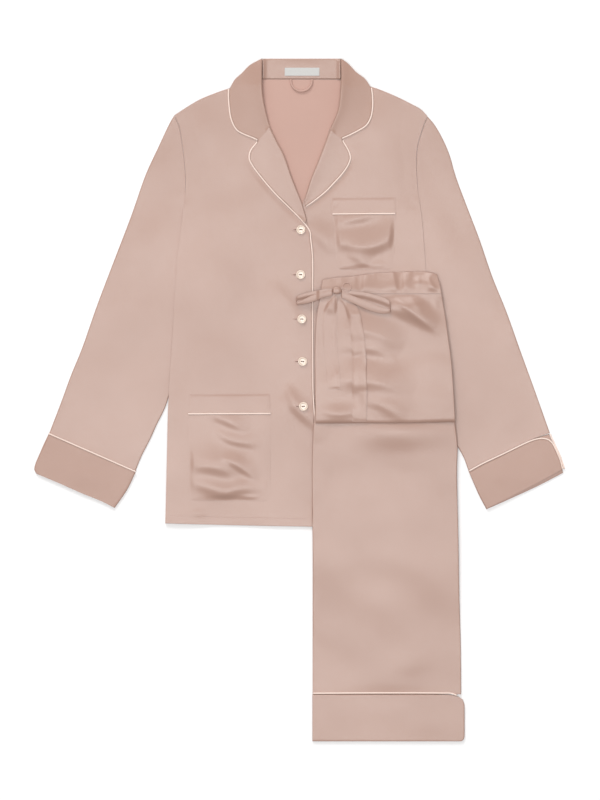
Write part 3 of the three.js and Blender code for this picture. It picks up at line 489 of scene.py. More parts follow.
def shell(name: str, bottom: Grid, top: Grid, rims: Sequence[Grid] = ()) -> bpy.types.Object:
    """Closes the space between a lower and an upper grid of points.

    Args:
        name: The object's name.
        bottom: Lower points in rows.
        top: Upper points in rows.
        rims: Rings of points between their edges, from below.

    Returns:
        The closed shell.
    """
    index = np.arange(bottom.shape[0] * bottom.shape[1]).reshape(bottom.shape[:2])
    count = index.size
    quads = np.stack([index[:-1, :-1], index[:-1, 1:], index[1:, 1:], index[1:, :-1]], -1).reshape(-1, 4)
    ring = edge_ring(index)
    rings = [ring, *(2 * count + k * len(ring) + np.arange(len(ring)) for k in range(len(rims))), ring + count]
    faces = [quads[:, ::-1], quads + count]
    for low, high in zip(rings, rings[1:]):
        faces.append(np.stack([low, np.roll(low, -1), np.roll(high, -1), high], -1))
    points = np.concatenate([bottom.reshape(-1, 3), top.reshape(-1, 3), *rims])
    return mesh_object(name, points, np.concatenate(faces).tolist())


def tube(name: str, inner: Grid, outer: Grid) -> bpy.types.Object:
    """Makes an open-ended tube with a wall from rings of points.

    Args:
        name: The object's name.
        inner: Rings of the inside, one row each.
        outer: Rings of the outside, one row each.

    Returns:
        The closed wall.
    """
    rows, columns = inner.shape[:2]
    index = np.arange(rows * columns).reshape(rows, columns)
    count = index.size
    right = np.roll(index, -1, axis=1)
    quads = np.stack([index[:-1], right[:-1], right[1:], index[1:]], -1).reshape(-1, 4)
    first = np.stack([index[0] + count, index[0], right[0], right[0] + count], -1)
    last = np.stack([index[-1], index[-1] + count, right[-1] + count, right[-1]], -1)
    faces = np.concatenate([quads + count, quads[:, ::-1], first, last])
    return mesh_object(name, np.concatenate([inner.reshape(-1, 3), outer.reshape(-1, 3)]), faces.tolist())


def cord_points(path: Grid, radius: float | Grid, sides: int) -> Grid:
    """Gives the rings of points round a path.

    Args:
        path: The cord's centre line.
        radius: One radius, or one for each point of the path.
        sides: Points in a ring.

    Returns:
        One ring for each point of the path.
    """
    ahead = np.gradient(path, axis=0)
    ahead /= np.maximum(np.linalg.norm(ahead, axis=1, keepdims=True), 1e-9)
    level = np.cross(np.array([0.0, 0.0, 1.0]), ahead)
    level /= np.maximum(np.linalg.norm(level, axis=1, keepdims=True), 1e-9)
    upward = np.cross(ahead, level)
    angles = 2 * math.pi * (np.arange(sides) + 0.5) / sides
    around = level[:, None] * np.cos(angles)[:, None] + upward[:, None] * np.sin(angles)[:, None]
    return path[:, None] + around * np.reshape(radius, (-1, 1, 1))


def cord(name: str, path: Grid, radius: float | Grid, sides: int = 12) -> bpy.types.Object:
    """Makes a closed round cord along a path in millimetres."""
    rings = cord_points(path, radius, sides)
    index = np.arange(len(path) * sides).reshape(-1, sides)
    right = np.roll(index, -1, axis=1)
    faces = np.stack([index[:-1], index[1:], right[1:], right[:-1]], -1).reshape(-1, 4).tolist()
    faces += [index[0].tolist(), index[-1][::-1].tolist()]
    made = mesh_object(name, rings.reshape(-1, 3), faces)
    bmesh_outward(made)
    return made


def bmesh_outward(made: bpy.types.Object) -> None:
    """Turns a closed mesh the right way out."""
    import bmesh
    work = bmesh.new()
    work.from_mesh(made.data)
    bmesh.ops.recalc_face_normals(work, faces=work.faces)
    work.to_mesh(made.data)
    work.free()


class Finish(Enum):
    """The finishes of the set, each with the record's slot that it fills."""

    SATIN = "satin"
    CROSS = "satin_cut_across"
    REVERSE = "reverse"
    PIPING = "piping"
    SHELL = "button_shell"
    LABEL = "label"
    THREAD = "thread"
    # Dark thread of the buttons, also used as painted shade inside the buttonhole openings.
    DARK_THREAD_AND_BUTTONHOLE_SHADE = "dark_thread_and_buttonhole_shade"

    @property
    def slot(self) -> str:
        """The record's slot for a piece in this finish."""
        return Finish.SATIN.value if self in (Finish.CROSS, Finish.THREAD, Finish.DARK_THREAD_AND_BUTTONHOLE_SHADE) else self.value


def new_node(tree: bpy.types.NodeTree, kind: str, **values: object) -> bpy.types.Node:
    """Adds a shader node.

    Args:
        tree: The tree that it goes into.
        kind: Its type, without the word that all shader nodes start with.
        values: Attributes to set on it.

    Returns:
        The new node.
    """
    made = tree.nodes.new("ShaderNode" + kind)
    for key, value in values.items():
        setattr(made, key, value)
    return made


def maths(tree: bpy.types.NodeTree, operation: str, first: object, second: object = 0.0) -> object:
    """Joins two values with a maths node.

    Args:
        tree: The tree that it goes into.
        operation: What the node does.
        first: A socket or a number.
        second: A socket or a number.

    Returns:
        The node's output socket.
    """
    made = new_node(tree, "Math", operation=operation)
    for socket, value in zip(made.inputs, (first, second)):
        if isinstance(value, (int, float)):
            socket.default_value = value
        else:
            tree.links.new(value, socket)
    return made.outputs[0]


def new_group(name: str, inputs: Sequence[tuple[str, str, object]],
              outputs: Sequence[tuple[str, str]]) -> tuple[object, object, object]:
    """Starts a node group.

    Args:
        name: The group's name.
        inputs: Name, kind and default of each input.
        outputs: Name and kind of each output.

    Returns:
        The group, its input node and its output node.
    """
    group = bpy.data.node_groups.new(name, "ShaderNodeTree")
    for label, kind, default in inputs:
        socket = group.interface.new_socket(label, in_out="INPUT", socket_type="NodeSocket" + kind)
        if default is not None:
            socket.default_value = default
    for label, kind in outputs:
        group.interface.new_socket(label, in_out="OUTPUT", socket_type="NodeSocket" + kind)
    return group, group.nodes.new("NodeGroupInput"), group.nodes.new("NodeGroupOutput")


def weave_group() -> bpy.types.NodeTree:
    """Builds the weave: the height of threads that cross, with long floats where it is satin.

    Returns:
        The node group.
    """
    group, given, out = new_group(
        "cloth_weave",
        [("Place", "Vector", None), ("Thread", "Float", 0.0003), ("Float", "Float", 0.2),
         ("Slub", "Float", 0.3)],
        [("Height", "Float"), ("Slubs", "Float")])
    scale = new_node(group, "VectorMath", operation="SCALE")
    group.links.new(given.outputs["Place"], scale.inputs[0])
    group.links.new(maths(group, "DIVIDE", 2 * math.pi, given.outputs["Thread"]), scale.inputs["Scale"])
    axes = new_node(group, "SeparateXYZ")
    group.links.new(scale.outputs[0], axes.inputs[0])
    warp = maths(group, "SINE", axes.outputs["X"])
    slant = maths(group, "MULTIPLY", axes.outputs["X"], 0.4)
    weft_place = maths(group, "ADD", maths(group, "MULTIPLY", axes.outputs["Y"], given.outputs["Float"]), slant)
    weft = maths(group, "SINE", weft_place)
    stretch = new_node(group, "VectorMath", operation="MULTIPLY")
    stretch.inputs[1].default_value = (700.0, 22.0, 700.0)
    group.links.new(given.outputs["Place"], stretch.inputs[0])
    slubs = new_node(group, "TexNoise", noise_dimensions="3D")
    slubs.inputs["Scale"].default_value = 1.0
    slubs.inputs["Detail"].default_value = 2.0
    group.links.new(stretch.outputs[0], slubs.inputs["Vector"])
    threads = maths(group, "ADD", maths(group, "MULTIPLY", warp, 0.5), maths(group, "MULTIPLY", weft, 0.35))
    uneven = maths(group, "MULTIPLY", slubs.outputs[0], given.outputs["Slub"])
    group.links.new(maths(group, "ADD", threads, uneven), out.inputs["Height"])
    group.links.new(slubs.outputs[0], out.inputs["Slubs"])
    return group


def drift_group() -> bpy.types.NodeTree:
    """Builds the slow change of colour and gloss over a piece.

    Returns:
        The node group.
    """
    group, given, out = new_group(
        "cloth_drift",
        [("Place", "Vector", None), ("Colour", "Color", (1, 1, 1, 1)), ("Deep", "Color", (0, 0, 0, 1)),
         ("Size", "Float", 0.12), ("Amount", "Float", 0.5), ("Gloss", "Float", 0.42), ("Sway", "Float", 0.05)],
        [("Colour", "Color"), ("Roughness", "Float")])
    cloud = new_node(group, "TexNoise", noise_dimensions="3D")
    cloud.inputs["Detail"].default_value = 3.0
    cloud.inputs["Roughness"].default_value = 0.45
    group.links.new(given.outputs["Place"], cloud.inputs["Vector"])
    group.links.new(maths(group, "DIVIDE", 1.0, given.outputs["Size"]), cloud.inputs["Scale"])
    spread = new_node(group, "MapRange")
    spread.inputs["From Min"].default_value = 0.3
    spread.inputs["From Max"].default_value = 0.7
    group.links.new(cloud.outputs[0], spread.inputs["Value"])
    mix = new_node(group, "Mix", data_type="RGBA")
    group.links.new(maths(group, "MULTIPLY", spread.outputs[0], given.outputs["Amount"]), mix.inputs[0])
    group.links.new(given.outputs["Colour"], mix.inputs[6])
    group.links.new(given.outputs["Deep"], mix.inputs[7])
    group.links.new(mix.outputs[2], out.inputs["Colour"])
    sway = maths(group, "MULTIPLY", maths(group, "SUBTRACT", cloud.outputs[0], 0.5), given.outputs["Sway"])
    group.links.new(maths(group, "ADD", given.outputs["Gloss"], sway), out.inputs["Roughness"])
    return group


def to_linear(colour: Colour) -> tuple[float, float, float, float]:
    """Turns an sRGB colour from 0 to 255 into Blender's linear one."""
    def channel(value: float) -> float:
        share = value / 255
        return share / 12.92 if share <= 0.04045 else ((share + 0.055) / 1.055) ** 2.4
    return (*(channel(value) for value in colour), 1.0)


@dataclass(frozen=True)
class WovenFinish:
    """A woven or twisted finish: its colours, gloss and threads."""

    colour: Colour
    deep: Colour
    roughness: float
    thread: float
    float_share: float
    relief: float
    sheen: float
    drift_size: float = 0.16
    drift: float = 0.5
    sway: float = 0.08
    slub: float = 0.3
    specular: float = 0.5
    coat: float = 0.0
    metallic: float = 0.0

    def material(self, name: str, groups: dict[str, bpy.types.NodeTree]) -> bpy.types.Material:
        """Makes the material.

        Args:
            name: The material's name.
            groups: The shared node groups.

        Returns:
            The new material.
        """
        made = bpy.data.materials.new(name)
        made.use_nodes = True
        tree = made.node_tree
        shader = next(n for n in tree.nodes if n.type == "BSDF_PRINCIPLED")
        place = new_node(tree, "TexCoord").outputs["Object"]
        drift = new_node(tree, "Group", node_tree=groups["drift"])
        tree.links.new(place, drift.inputs["Place"])
        drift.inputs["Colour"].default_value = to_linear(self.colour)
        drift.inputs["Deep"].default_value = to_linear(self.deep)
        for label, value in (("Size", self.drift_size), ("Amount", self.drift),
                             ("Gloss", self.roughness), ("Sway", self.sway)):
            drift.inputs[label].default_value = value
        tree.links.new(drift.outputs["Colour"], shader.inputs["Base Color"])
        tree.links.new(drift.outputs["Roughness"], shader.inputs["Roughness"])
        weave = new_node(tree, "Group", node_tree=groups["weave"])
        tree.links.new(place, weave.inputs["Place"])
        for label, value in (("Thread", self.thread), ("Float", self.float_share), ("Slub", self.slub)):
            weave.inputs[label].default_value = value
        bump = new_node(tree, "Bump")
        bump.inputs["Strength"].default_value = self.relief
        bump.inputs["Distance"].default_value = self.thread * 0.25
        tree.links.new(weave.outputs["Height"], bump.inputs["Height"])
        tree.links.new(bump.outputs[0], shader.inputs["Normal"])
        shader.inputs["Specular IOR Level"].default_value = self.specular
        shader.inputs["Sheen Weight"].default_value = self.sheen
        shader.inputs["Sheen Roughness"].default_value = 0.4
        shader.inputs["Metallic"].default_value = self.metallic
        shader.inputs["Coat Weight"].default_value = self.coat
        shader.inputs["Coat Roughness"].default_value = 0.15
        return made


FINISHES = {
    Finish.SATIN: WovenFinish((177, 142, 127), (162, 126, 110), 0.36, 0.00028, 0.2, 0.35, 0.05, specular=1.0),
    Finish.CROSS: WovenFinish((177, 142, 127), (162, 126, 110), 0.36, 0.00028, 0.2, 0.35, 0.05, specular=0.6),
    Finish.REVERSE: WovenFinish((199, 162, 149), (191, 153, 140), 0.62, 0.0004, 1.0, 0.5, 0.2),
    Finish.PIPING: WovenFinish((250, 228, 216), (243, 218, 204), 0.45, 0.0004, 0.5, 0.5, 0.15),
    Finish.SHELL: WovenFinish((230, 209, 190), (214, 193, 175), 0.22, 0.0012, 0.1, 0.12, 0.0, 0.004, 0.8,
                              0.12, 0.8, 0.6, 0.5),
    Finish.LABEL: WovenFinish((210, 209, 206), (203, 201, 197), 0.55, 0.0005, 1.0, 0.7, 0.1),
    Finish.THREAD: WovenFinish((206, 175, 162), (190, 158, 145), 0.5, 0.0003, 0.5, 0.5, 0.1),
    # The buttons' dark thread; the same material is painted shade inside the buttonhole openings.
    Finish.DARK_THREAD_AND_BUTTONHOLE_SHADE: WovenFinish((120, 92, 82), (98, 74, 66), 0.7, 0.0003, 0.5, 0.4, 0.0),
}
MATERIALS: dict[Finish, bpy.types.Material] = {}


def make_materials() -> None:
    """Makes every material once, from the two shared groups."""
    groups = {"weave": weave_group(), "drift": drift_group()}
    for finish, recipe in FINISHES.items():
        MATERIALS[finish] = recipe.material(finish.value, groups)
        LOG.info("material %s made", finish.value)


def dress(made: bpy.types.Object, finish: Finish) -> None:
    """Gives a piece its material."""
    made.data.materials.clear()
    made.data.materials.append(MATERIALS[finish])


@dataclass
class Cloth:
    """A piece of cloth, closed all round, that lies on what was laid before it."""

    name: str
    node: str
    sides: Sides
    finish: "Finish"
    cut: tuple[float, float]
    rests_on: Sequence[str] = ()
    relief: Relief = ()
    ply: float = PLY
    cell: float = 3.0
    calm: int = 28
    edge: float = 0.55
    hugging: bool = False
    area: float | None = None
    thin: float = 0.0
    melt: float = 4.0
    close: float | None = None
    sewn: str = ""
    on: Ground | None = None

    @property
    def lands_on(self) -> Ground:
        """The map that the piece settles on."""
        return self.on or GROUND

    def cover(self, top: Grid) -> None:
        """Lays the piece's upper side on the maps."""
        GROUND.cover(top)
        if self.on:
            self.on.cover(top)

    def top(self, plan: Grid) -> Grid:
        """Gives the height of the upper side.

        Args:
            plan: The piece's plan points.

        Returns:
            The height of each point, clear of what lies under it.
        """
        level = softened(CadTop(self.node).heights(plan), self.calm)
        least = self.lands_on.under(plan) + LAYER_GAP + self.ply
        if self.close is not None:
            level = np.minimum(level, softened(least, self.calm) + self.close)
        for item in self.relief:
            level = item.shape(level, plan)
        return cleared(level, least)

    def lay(self) -> bpy.types.Object:
        """Returns:
            The finished piece.
        """
        plan = self.sides.grid(self.cell, (0.06, 0.35, 0.9, 1.8, 3.2))
        under = self.lands_on.under(plan)
        level = self.top(plan)
        distance = edge_distance(plan, self.sewn)
        curve = 1 - np.clip(distance / self.edge, 0, 1)
        level = level - self.edge * (1 - np.sqrt(np.clip(1 - curve ** 2, 0, 1)))
        floor = under + LAYER_GAP
        if self.thin:
            share = np.clip(distance / self.melt, 0, 1)
            level = floor + self.thin + (level - floor - self.thin) * share * share * (3 - 2 * share)
        loose = np.clip((distance - 3) / 12, 0, 1) if not self.hugging else np.zeros_like(distance)
        loose = loose * loose * (3 - 2 * loose)
        bottom = np.minimum(floor + (np.maximum(level - self.ply, floor) - floor) * loose, level - 0.25)
        low, high = np.dstack([plan, bottom]), np.dstack([plan, level])
        ring_low, ring_high = edge_ring(bottom), edge_ring(level)
        rim = np.column_stack([edge_ring(plan[..., 0]), edge_ring(plan[..., 1]), (ring_low + ring_high) / 2])
        made = shell(self.name, low, high, [rim])
        self.cover(high)
        return self.declared(made)

    def declared(self, made: bpy.types.Object) -> bpy.types.Object:
        """Gives the piece its finish and its body, and hides the imported node that it stands for."""
        dress(made, self.finish)
        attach(made, BODY)
        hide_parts(self.node)
        LOG.info("%s laid, %d vertices", self.name, len(made.data.vertices))
        return made


@dataclass
class Tube(Cloth):
    """A flattened tube of cloth with open ends, such as a sleeve or a leg."""

    wall: float = 0.75
    hollow: float = 0.3

    def lay(self) -> bpy.types.Object:
        """Returns:
            The finished tube.
        """
        plan = self.sides.grid(self.cell, (0.05, 0.15, 0.45, 0.9, 1.6, 3.0))
        least = 2 * self.wall + self.hollow
        under = self.lands_on.under(plan) + LAYER_GAP
        level = softened(CadTop(self.node).heights(plan), self.calm)
        for item in self.relief:
            level = item.shape(level, plan)
        level = cleared(level, under + least)
        sunk = softened(np.maximum(level - least, under), 0)
        base = np.maximum(np.minimum(sunk, cleared(under, under)), under)
        middle = base + least / 2
        distance = edge_distance(plan, "ns")
        curve = 1 - np.clip(distance / 1.3, 0, 1)
        full = np.sqrt(np.clip(1 - curve ** 2, 0, 1))
        upper = middle + (level - middle) * full
        lower = middle - (middle - base) * full
        upper_in = middle + (level - middle - self.wall) * full
        lower_in = middle - (middle - base - self.wall) * full
        centre = (plan[:, :1] + plan[:, -1:]) / 2
        width = np.linalg.norm(plan[:, -1:] - plan[:, :1], axis=-1, keepdims=True)
        inset = centre + (plan - centre) * (1 - 2 * self.wall / width)

        def around(flat: Grid, high: Grid, low: Grid) -> Grid:
            over = np.dstack([flat, high])
            below = np.dstack([flat, low])
            return np.concatenate([over, below[:, -2:0:-1]], axis=1)[:, ::-1]

        made = tube(self.name, around(inset, upper_in, lower_in), around(plan, upper, lower))
        self.cover(np.dstack([plan, upper]))
        return self.declared(made)


def cleared(level: Grid, least: Grid) -> Grid:
    """Lifts a surface softly until it is nowhere lower than it must be.

    Args:
        level: Heights of the surface.
        least: The lowest that each may be.

    Returns:
        The lifted heights.
    """
    lift = np.maximum(least - level, 0)
    if lift.max() <= 0:
        return level
    spread = lift
    for _ in range(2):
        padded = np.pad(spread, 1, mode="edge")
        spread = np.maximum.reduce([padded[1 + j:padded.shape[0] - 1 + j, 1 + i:padded.shape[1] - 1 + i]
                                    for j in (-1, 0, 1) for i in (-1, 0, 1)])
    return np.maximum(level + softened(spread, 3), least)


def strip(name: str, centre: Grid, ply: float) -> bpy.types.Object:
    """Gives a band of cloth its thickness on both sides of its middle surface.

    Args:
        name: The object's name.
        centre: Points of the middle surface in rows along the band.
        ply: Thickness of the cloth.

    Returns:
        The closed band.
    """
    normal = np.cross(np.gradient(centre, axis=0), np.gradient(centre, axis=1))
    normal /= np.maximum(np.linalg.norm(normal, axis=-1, keepdims=True), 1e-9)
    index = np.arange(centre[..., 0].size).reshape(centre.shape[:2])
    rim = centre.reshape(-1, 3)[edge_ring(index)]
    made = shell(name, centre - normal * ply / 2, centre + normal * ply / 2, [rim])
    bmesh_outward(made)
    return made


def piping_route(line: Grid, base: float = 0.0, sink: float = 0.15) -> Grid:
    """Settles a piping's middle line on what lies there already.

    Args:
        line: Plan points of its middle.
        base: Height to add.
        sink: How far its underside sinks into the cloth's nap.

    Returns:
        Its centre line in three dimensions.
    """
    count = max(3, round(length_of(line) / 2.0))
    plan = sampled(line, np.linspace(0, 1, count))
    under = GROUND.under(plan[None], 1)[0]
    kernel = np.array([1, 2, 3, 2, 1]) / 9
    for _ in range(3):
        soft = np.convolve(np.pad(under, 2, mode="edge"), kernel, mode="valid")
        under = np.maximum(under, soft)
    return np.column_stack([plan, np.maximum(under + base - sink, 0) + PIPING_RADIUS + 0.05])


def lay_piping(name: str, node: str, route: Grid) -> bpy.types.Object:
    """Makes one piping along its settled centre line."""
    made = cord(name, route, PIPING_RADIUS)
    dress(made, Finish.PIPING)
    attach(made, BODY)
    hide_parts(node)
    for side in (-0.5, 0, 0.5):
        row = route.copy()
        row[:, :2] = shifted(route[:, :2], side)
        row[:, 2] += PIPING_RADIUS * (1 - abs(side) * 0.4)
        GROUND.cover(np.stack([row, row], axis=0))
    LOG.info("%s sewn", name)
    return made


def trim(made: bpy.types.Object, finish: "Finish", *nodes: str) -> bpy.types.Object:
    """Finishes a small piece that isn't a sheet of cloth.

    Args:
        made: The piece.
        finish: Its finish.
        nodes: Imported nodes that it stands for.

    Returns:
        The same piece.
    """
    dress(made, finish)
    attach(made, BODY)
    if nodes:
        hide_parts(*nodes)
    LOG.info("%s made", made.name)
    return made


def stitches(name: str, line: Grid, finish: "Finish", pitch: float = 3.2, long: float = 2.3,
             radius: float = 0.22) -> bpy.types.Object:
    """Sews a row of stitches on what lies there already.

    Args:
        name: The row's name.
        line: Its plan line.
        finish: The thread's finish.
        pitch: Distance from stitch to stitch.
        long: Length of one stitch.
        radius: Radius of the thread.

    Returns:
        The row as one piece.
    """
    total = length_of(line)
    points, faces = [], []
    sides = 6
    for k in range(int(total / pitch)):
        start = (k + 0.15) * pitch
        plan = sampled(line, np.clip((start + long * np.array([0, 0.25, 0.75, 1.0])) / total, 0, 1))
        under = GROUND.under(plan[None], 0)[0].max()
        path = np.column_stack([plan, under + radius * np.array([-0.9, 0.55, 0.55, -0.9])])
        first = len(points) * 4 * sides
        points.append(cord_points(path, radius, sides).reshape(-1, 3))
        index = first + np.arange(4 * sides).reshape(4, sides)
        right = np.roll(index, -1, axis=1)
        faces += np.stack([index[:-1], right[:-1], right[1:], index[1:]], -1).reshape(-1, 4).tolist()
        faces += [index[0][::-1].tolist(), index[-1].tolist()]
    return trim(mesh_object(name, np.concatenate(points), faces), finish)



@dataclass
class JacketBody:
    """The jacket's back and two fronts, its hem and the fronts' edge."""

    side_right: Rows = ((-201.5, -185), (-199.3, -93), (-197, -3), (-190.7, 100), (-183.4, 215.6),
        (-177, 264), (-172, 307))
    side_left: Rows = ((205, -187), (203, -93), (200.5, -3), (194, 100), (187, 221.5), (182, 279),
        (177, 312))
    armhole_right: Rows = ((-172, 307), (-171, 325), (-173, 359), (-176, 383), (-181, 411), (-188, 426.5))
    armhole_left: Rows = ((177, 312), (175.6, 330.5), (174.5, 361), (177, 384), (184, 407), (191, 425.5))
    shoulder_right: Rows = ((-188, 426.5), (-163, 442.6), (-148, 451), (-126, 460), (-107, 466.6),
        (-60, 480.5))
    shoulder_left: Rows = ((64, 480.5), (108.5, 469), (128.6, 461.6), (148, 453), (167, 443.5), (182, 435),
        (191, 425.5))
    hem_right: Rows = ((-201.5, -185), (-104, -187.7), (17.5, -190))
    hem_left: Rows = ((-15, -189), (90, -188.5), (205, -187))
    back_hem: Rows = ((-200.5, -184), (0, -188), (204, -186))
    front_edge: Rows = ((19.5, -190), (22.3, -35), (20, 11), (19.6, 53), (19.1, 146), (19, 215),
        (16.4, 241), (15.2, 252))
    roll_right: Rows = ((11, 267), (6, 286.6), (-4, 313), (-13, 336), (-24, 368), (-34, 387), (-44, 407),
        (-51, 433), (-56, 463), (-57, 480.5))
    front_edge_left: Rows = ((-15, -189), (-15, 100), (-15, 235))
    roll_left: Rows = ((-11, 255), (5, 297), (16.4, 330), (26, 354), (39, 388), (44, 404.5), (49, 413),
        (57, 434), (60.4, 460), (61, 480.5))
    hem_deep: float = 12.0

    def build(self) -> None:
        """Lays the back, then the wearer's left front, then the right one that laps over it."""
        self.back()
        self.left_front()
        self.right_front()

    def back(self) -> None:
        """Lays the back, matt side up, as seen inside the neck."""
        west = joined(smooth_line(self.side_right), smooth_line(self.armhole_right))
        east = joined(smooth_line(self.side_left), smooth_line(self.armhole_left))
        north = joined(smooth_line(self.shoulder_right), smooth_line(self.shoulder_left))
        relief = (Fold(((-50, 400), (-20, 330), (-2, 290)), -0.6, 12, 12), Swell(5, 410, 40, 50, 0.8),
                  Fold(((52, 440), (30, 360), (8, 300)), 0.7, 10, 9),
                  Seam(((-58, 480.7), (62, 480.7)), 2.4, 8))
        Cloth("back_cloth", "back_panel", Sides(smooth_line(self.back_hem), north, west, east), Finish.REVERSE,
              (440, 690), relief=relief, cell=5.0, calm=10, area=0.27, sewn="new").lay()

    def left_front(self) -> None:
        """Lays the wearer's left front."""
        west = joined(smooth_line(self.front_edge_left), smooth_line(self.roll_left))
        east = joined(smooth_line(self.side_left), smooth_line(self.armhole_left))
        relief = (
            Fold(((10, 268), (32, 244), (56, 216)), 2.8, 18, 10),
            Fold(((-12, 276), (10.5, 288), (24.4, 297.8), (40.5, 310.9), (53.7, 324.5), (65.5, 337.7),
                  (74.4, 351.1), (78, 361.8), (76, 372), (66, 389), (54, 400)), -1.1, 3, 3),
            Rumple(0.75, 110, 3, 0.5), Seam(self.armhole_left, 3.4, 20),
            Fold(((150, 452), (120, 420), (110, 380)), 0.8, 30, 26),
            Fold(((60, 452), (110, 400), (165, 330)), 0.7, 26, 30),
            Swell(120, 340, 50, 60, 1.0),
            Pucker(((66, 479), (128, 460), (190, 426)), 0.08),
        )
        Cloth("left_front_cloth", "front_left", Sides(smooth_line(self.hem_left), smooth_line(self.shoulder_left),
              west, east), Finish.SATIN, (235, 690), ("back_cloth",), relief, area=0.14, edge=0.3,
              sewn="e").lay()

    def right_front(self) -> None:
        """Lays the wearer's right front with its buttonhole edge."""
        edge = shifted(smooth_line(self.front_edge), PIPING_RADIUS + SEAM_GAP)
        west = joined(smooth_line(self.side_right), smooth_line(self.armhole_right))
        relief = (
            Fold(((-46, 176), (-24, 154), (-10, 126), (-6, 84)), 2.4, 10, 18),
            Fold(((-22, 26), (-13, 4), (-2, -18)), 1.8, 9, 5),
            Fold(((-34, 6), (-21, -30), (-10, -66)), 1.0, 9, 5),
            Fold(((-30, 6), (-6, -12), (12, -28), (34, -50)), 3.4, 16, 8),
            Fold(((24, 200), (17, 243), (5.6, 262.3), (-20, 289.4), (-39.2, 308.4), (-63.8, 337.6),
                  (-73, 350.5), (-77.5, 359.6), (-77.7, 367.5), (-75, 376), (-60, 392)), -1.1, 3, 3),
            Rumple(0.75, 110, 5, 0.4), Seam(self.armhole_right, 3.4, 20),
            Fold(((-150, 250), (-120, 180), (-110, 90)), 1.2, 34, 30),
            Fold(((-60, 330), (-70, 250), (-40, 190)), 0.9, 22, 30),
            Fold(((-160, 420), (-120, 380), (-80, 300)), 0.7, 24, 26),
            Fold(((-166, -172), (-152, -170), (-138, -173)), 1.0, 6, 5),
            Swell(-110, 30, 60, 40, 0.8),
            Pucker(((-60, 479), (-126, 459), (-186, 427)), 0.08),
        )
        Cloth("right_front_cloth", "front_right",
              Sides(smooth_line(self.hem_right), smooth_line(self.shoulder_right), west,
                    joined(edge, smooth_line(self.roll_right))),
              Finish.SATIN, (240, 690), ("left_front_cloth", "back_cloth"), relief, area=0.14, edge=0.3,
              sewn="w").lay()
        hem = shifted(sampled(smooth_line(self.hem_right), np.linspace(0.02, 0.98, 60)), self.hem_deep)
        stitches("right_hem_stitches", hem, Finish.THREAD)


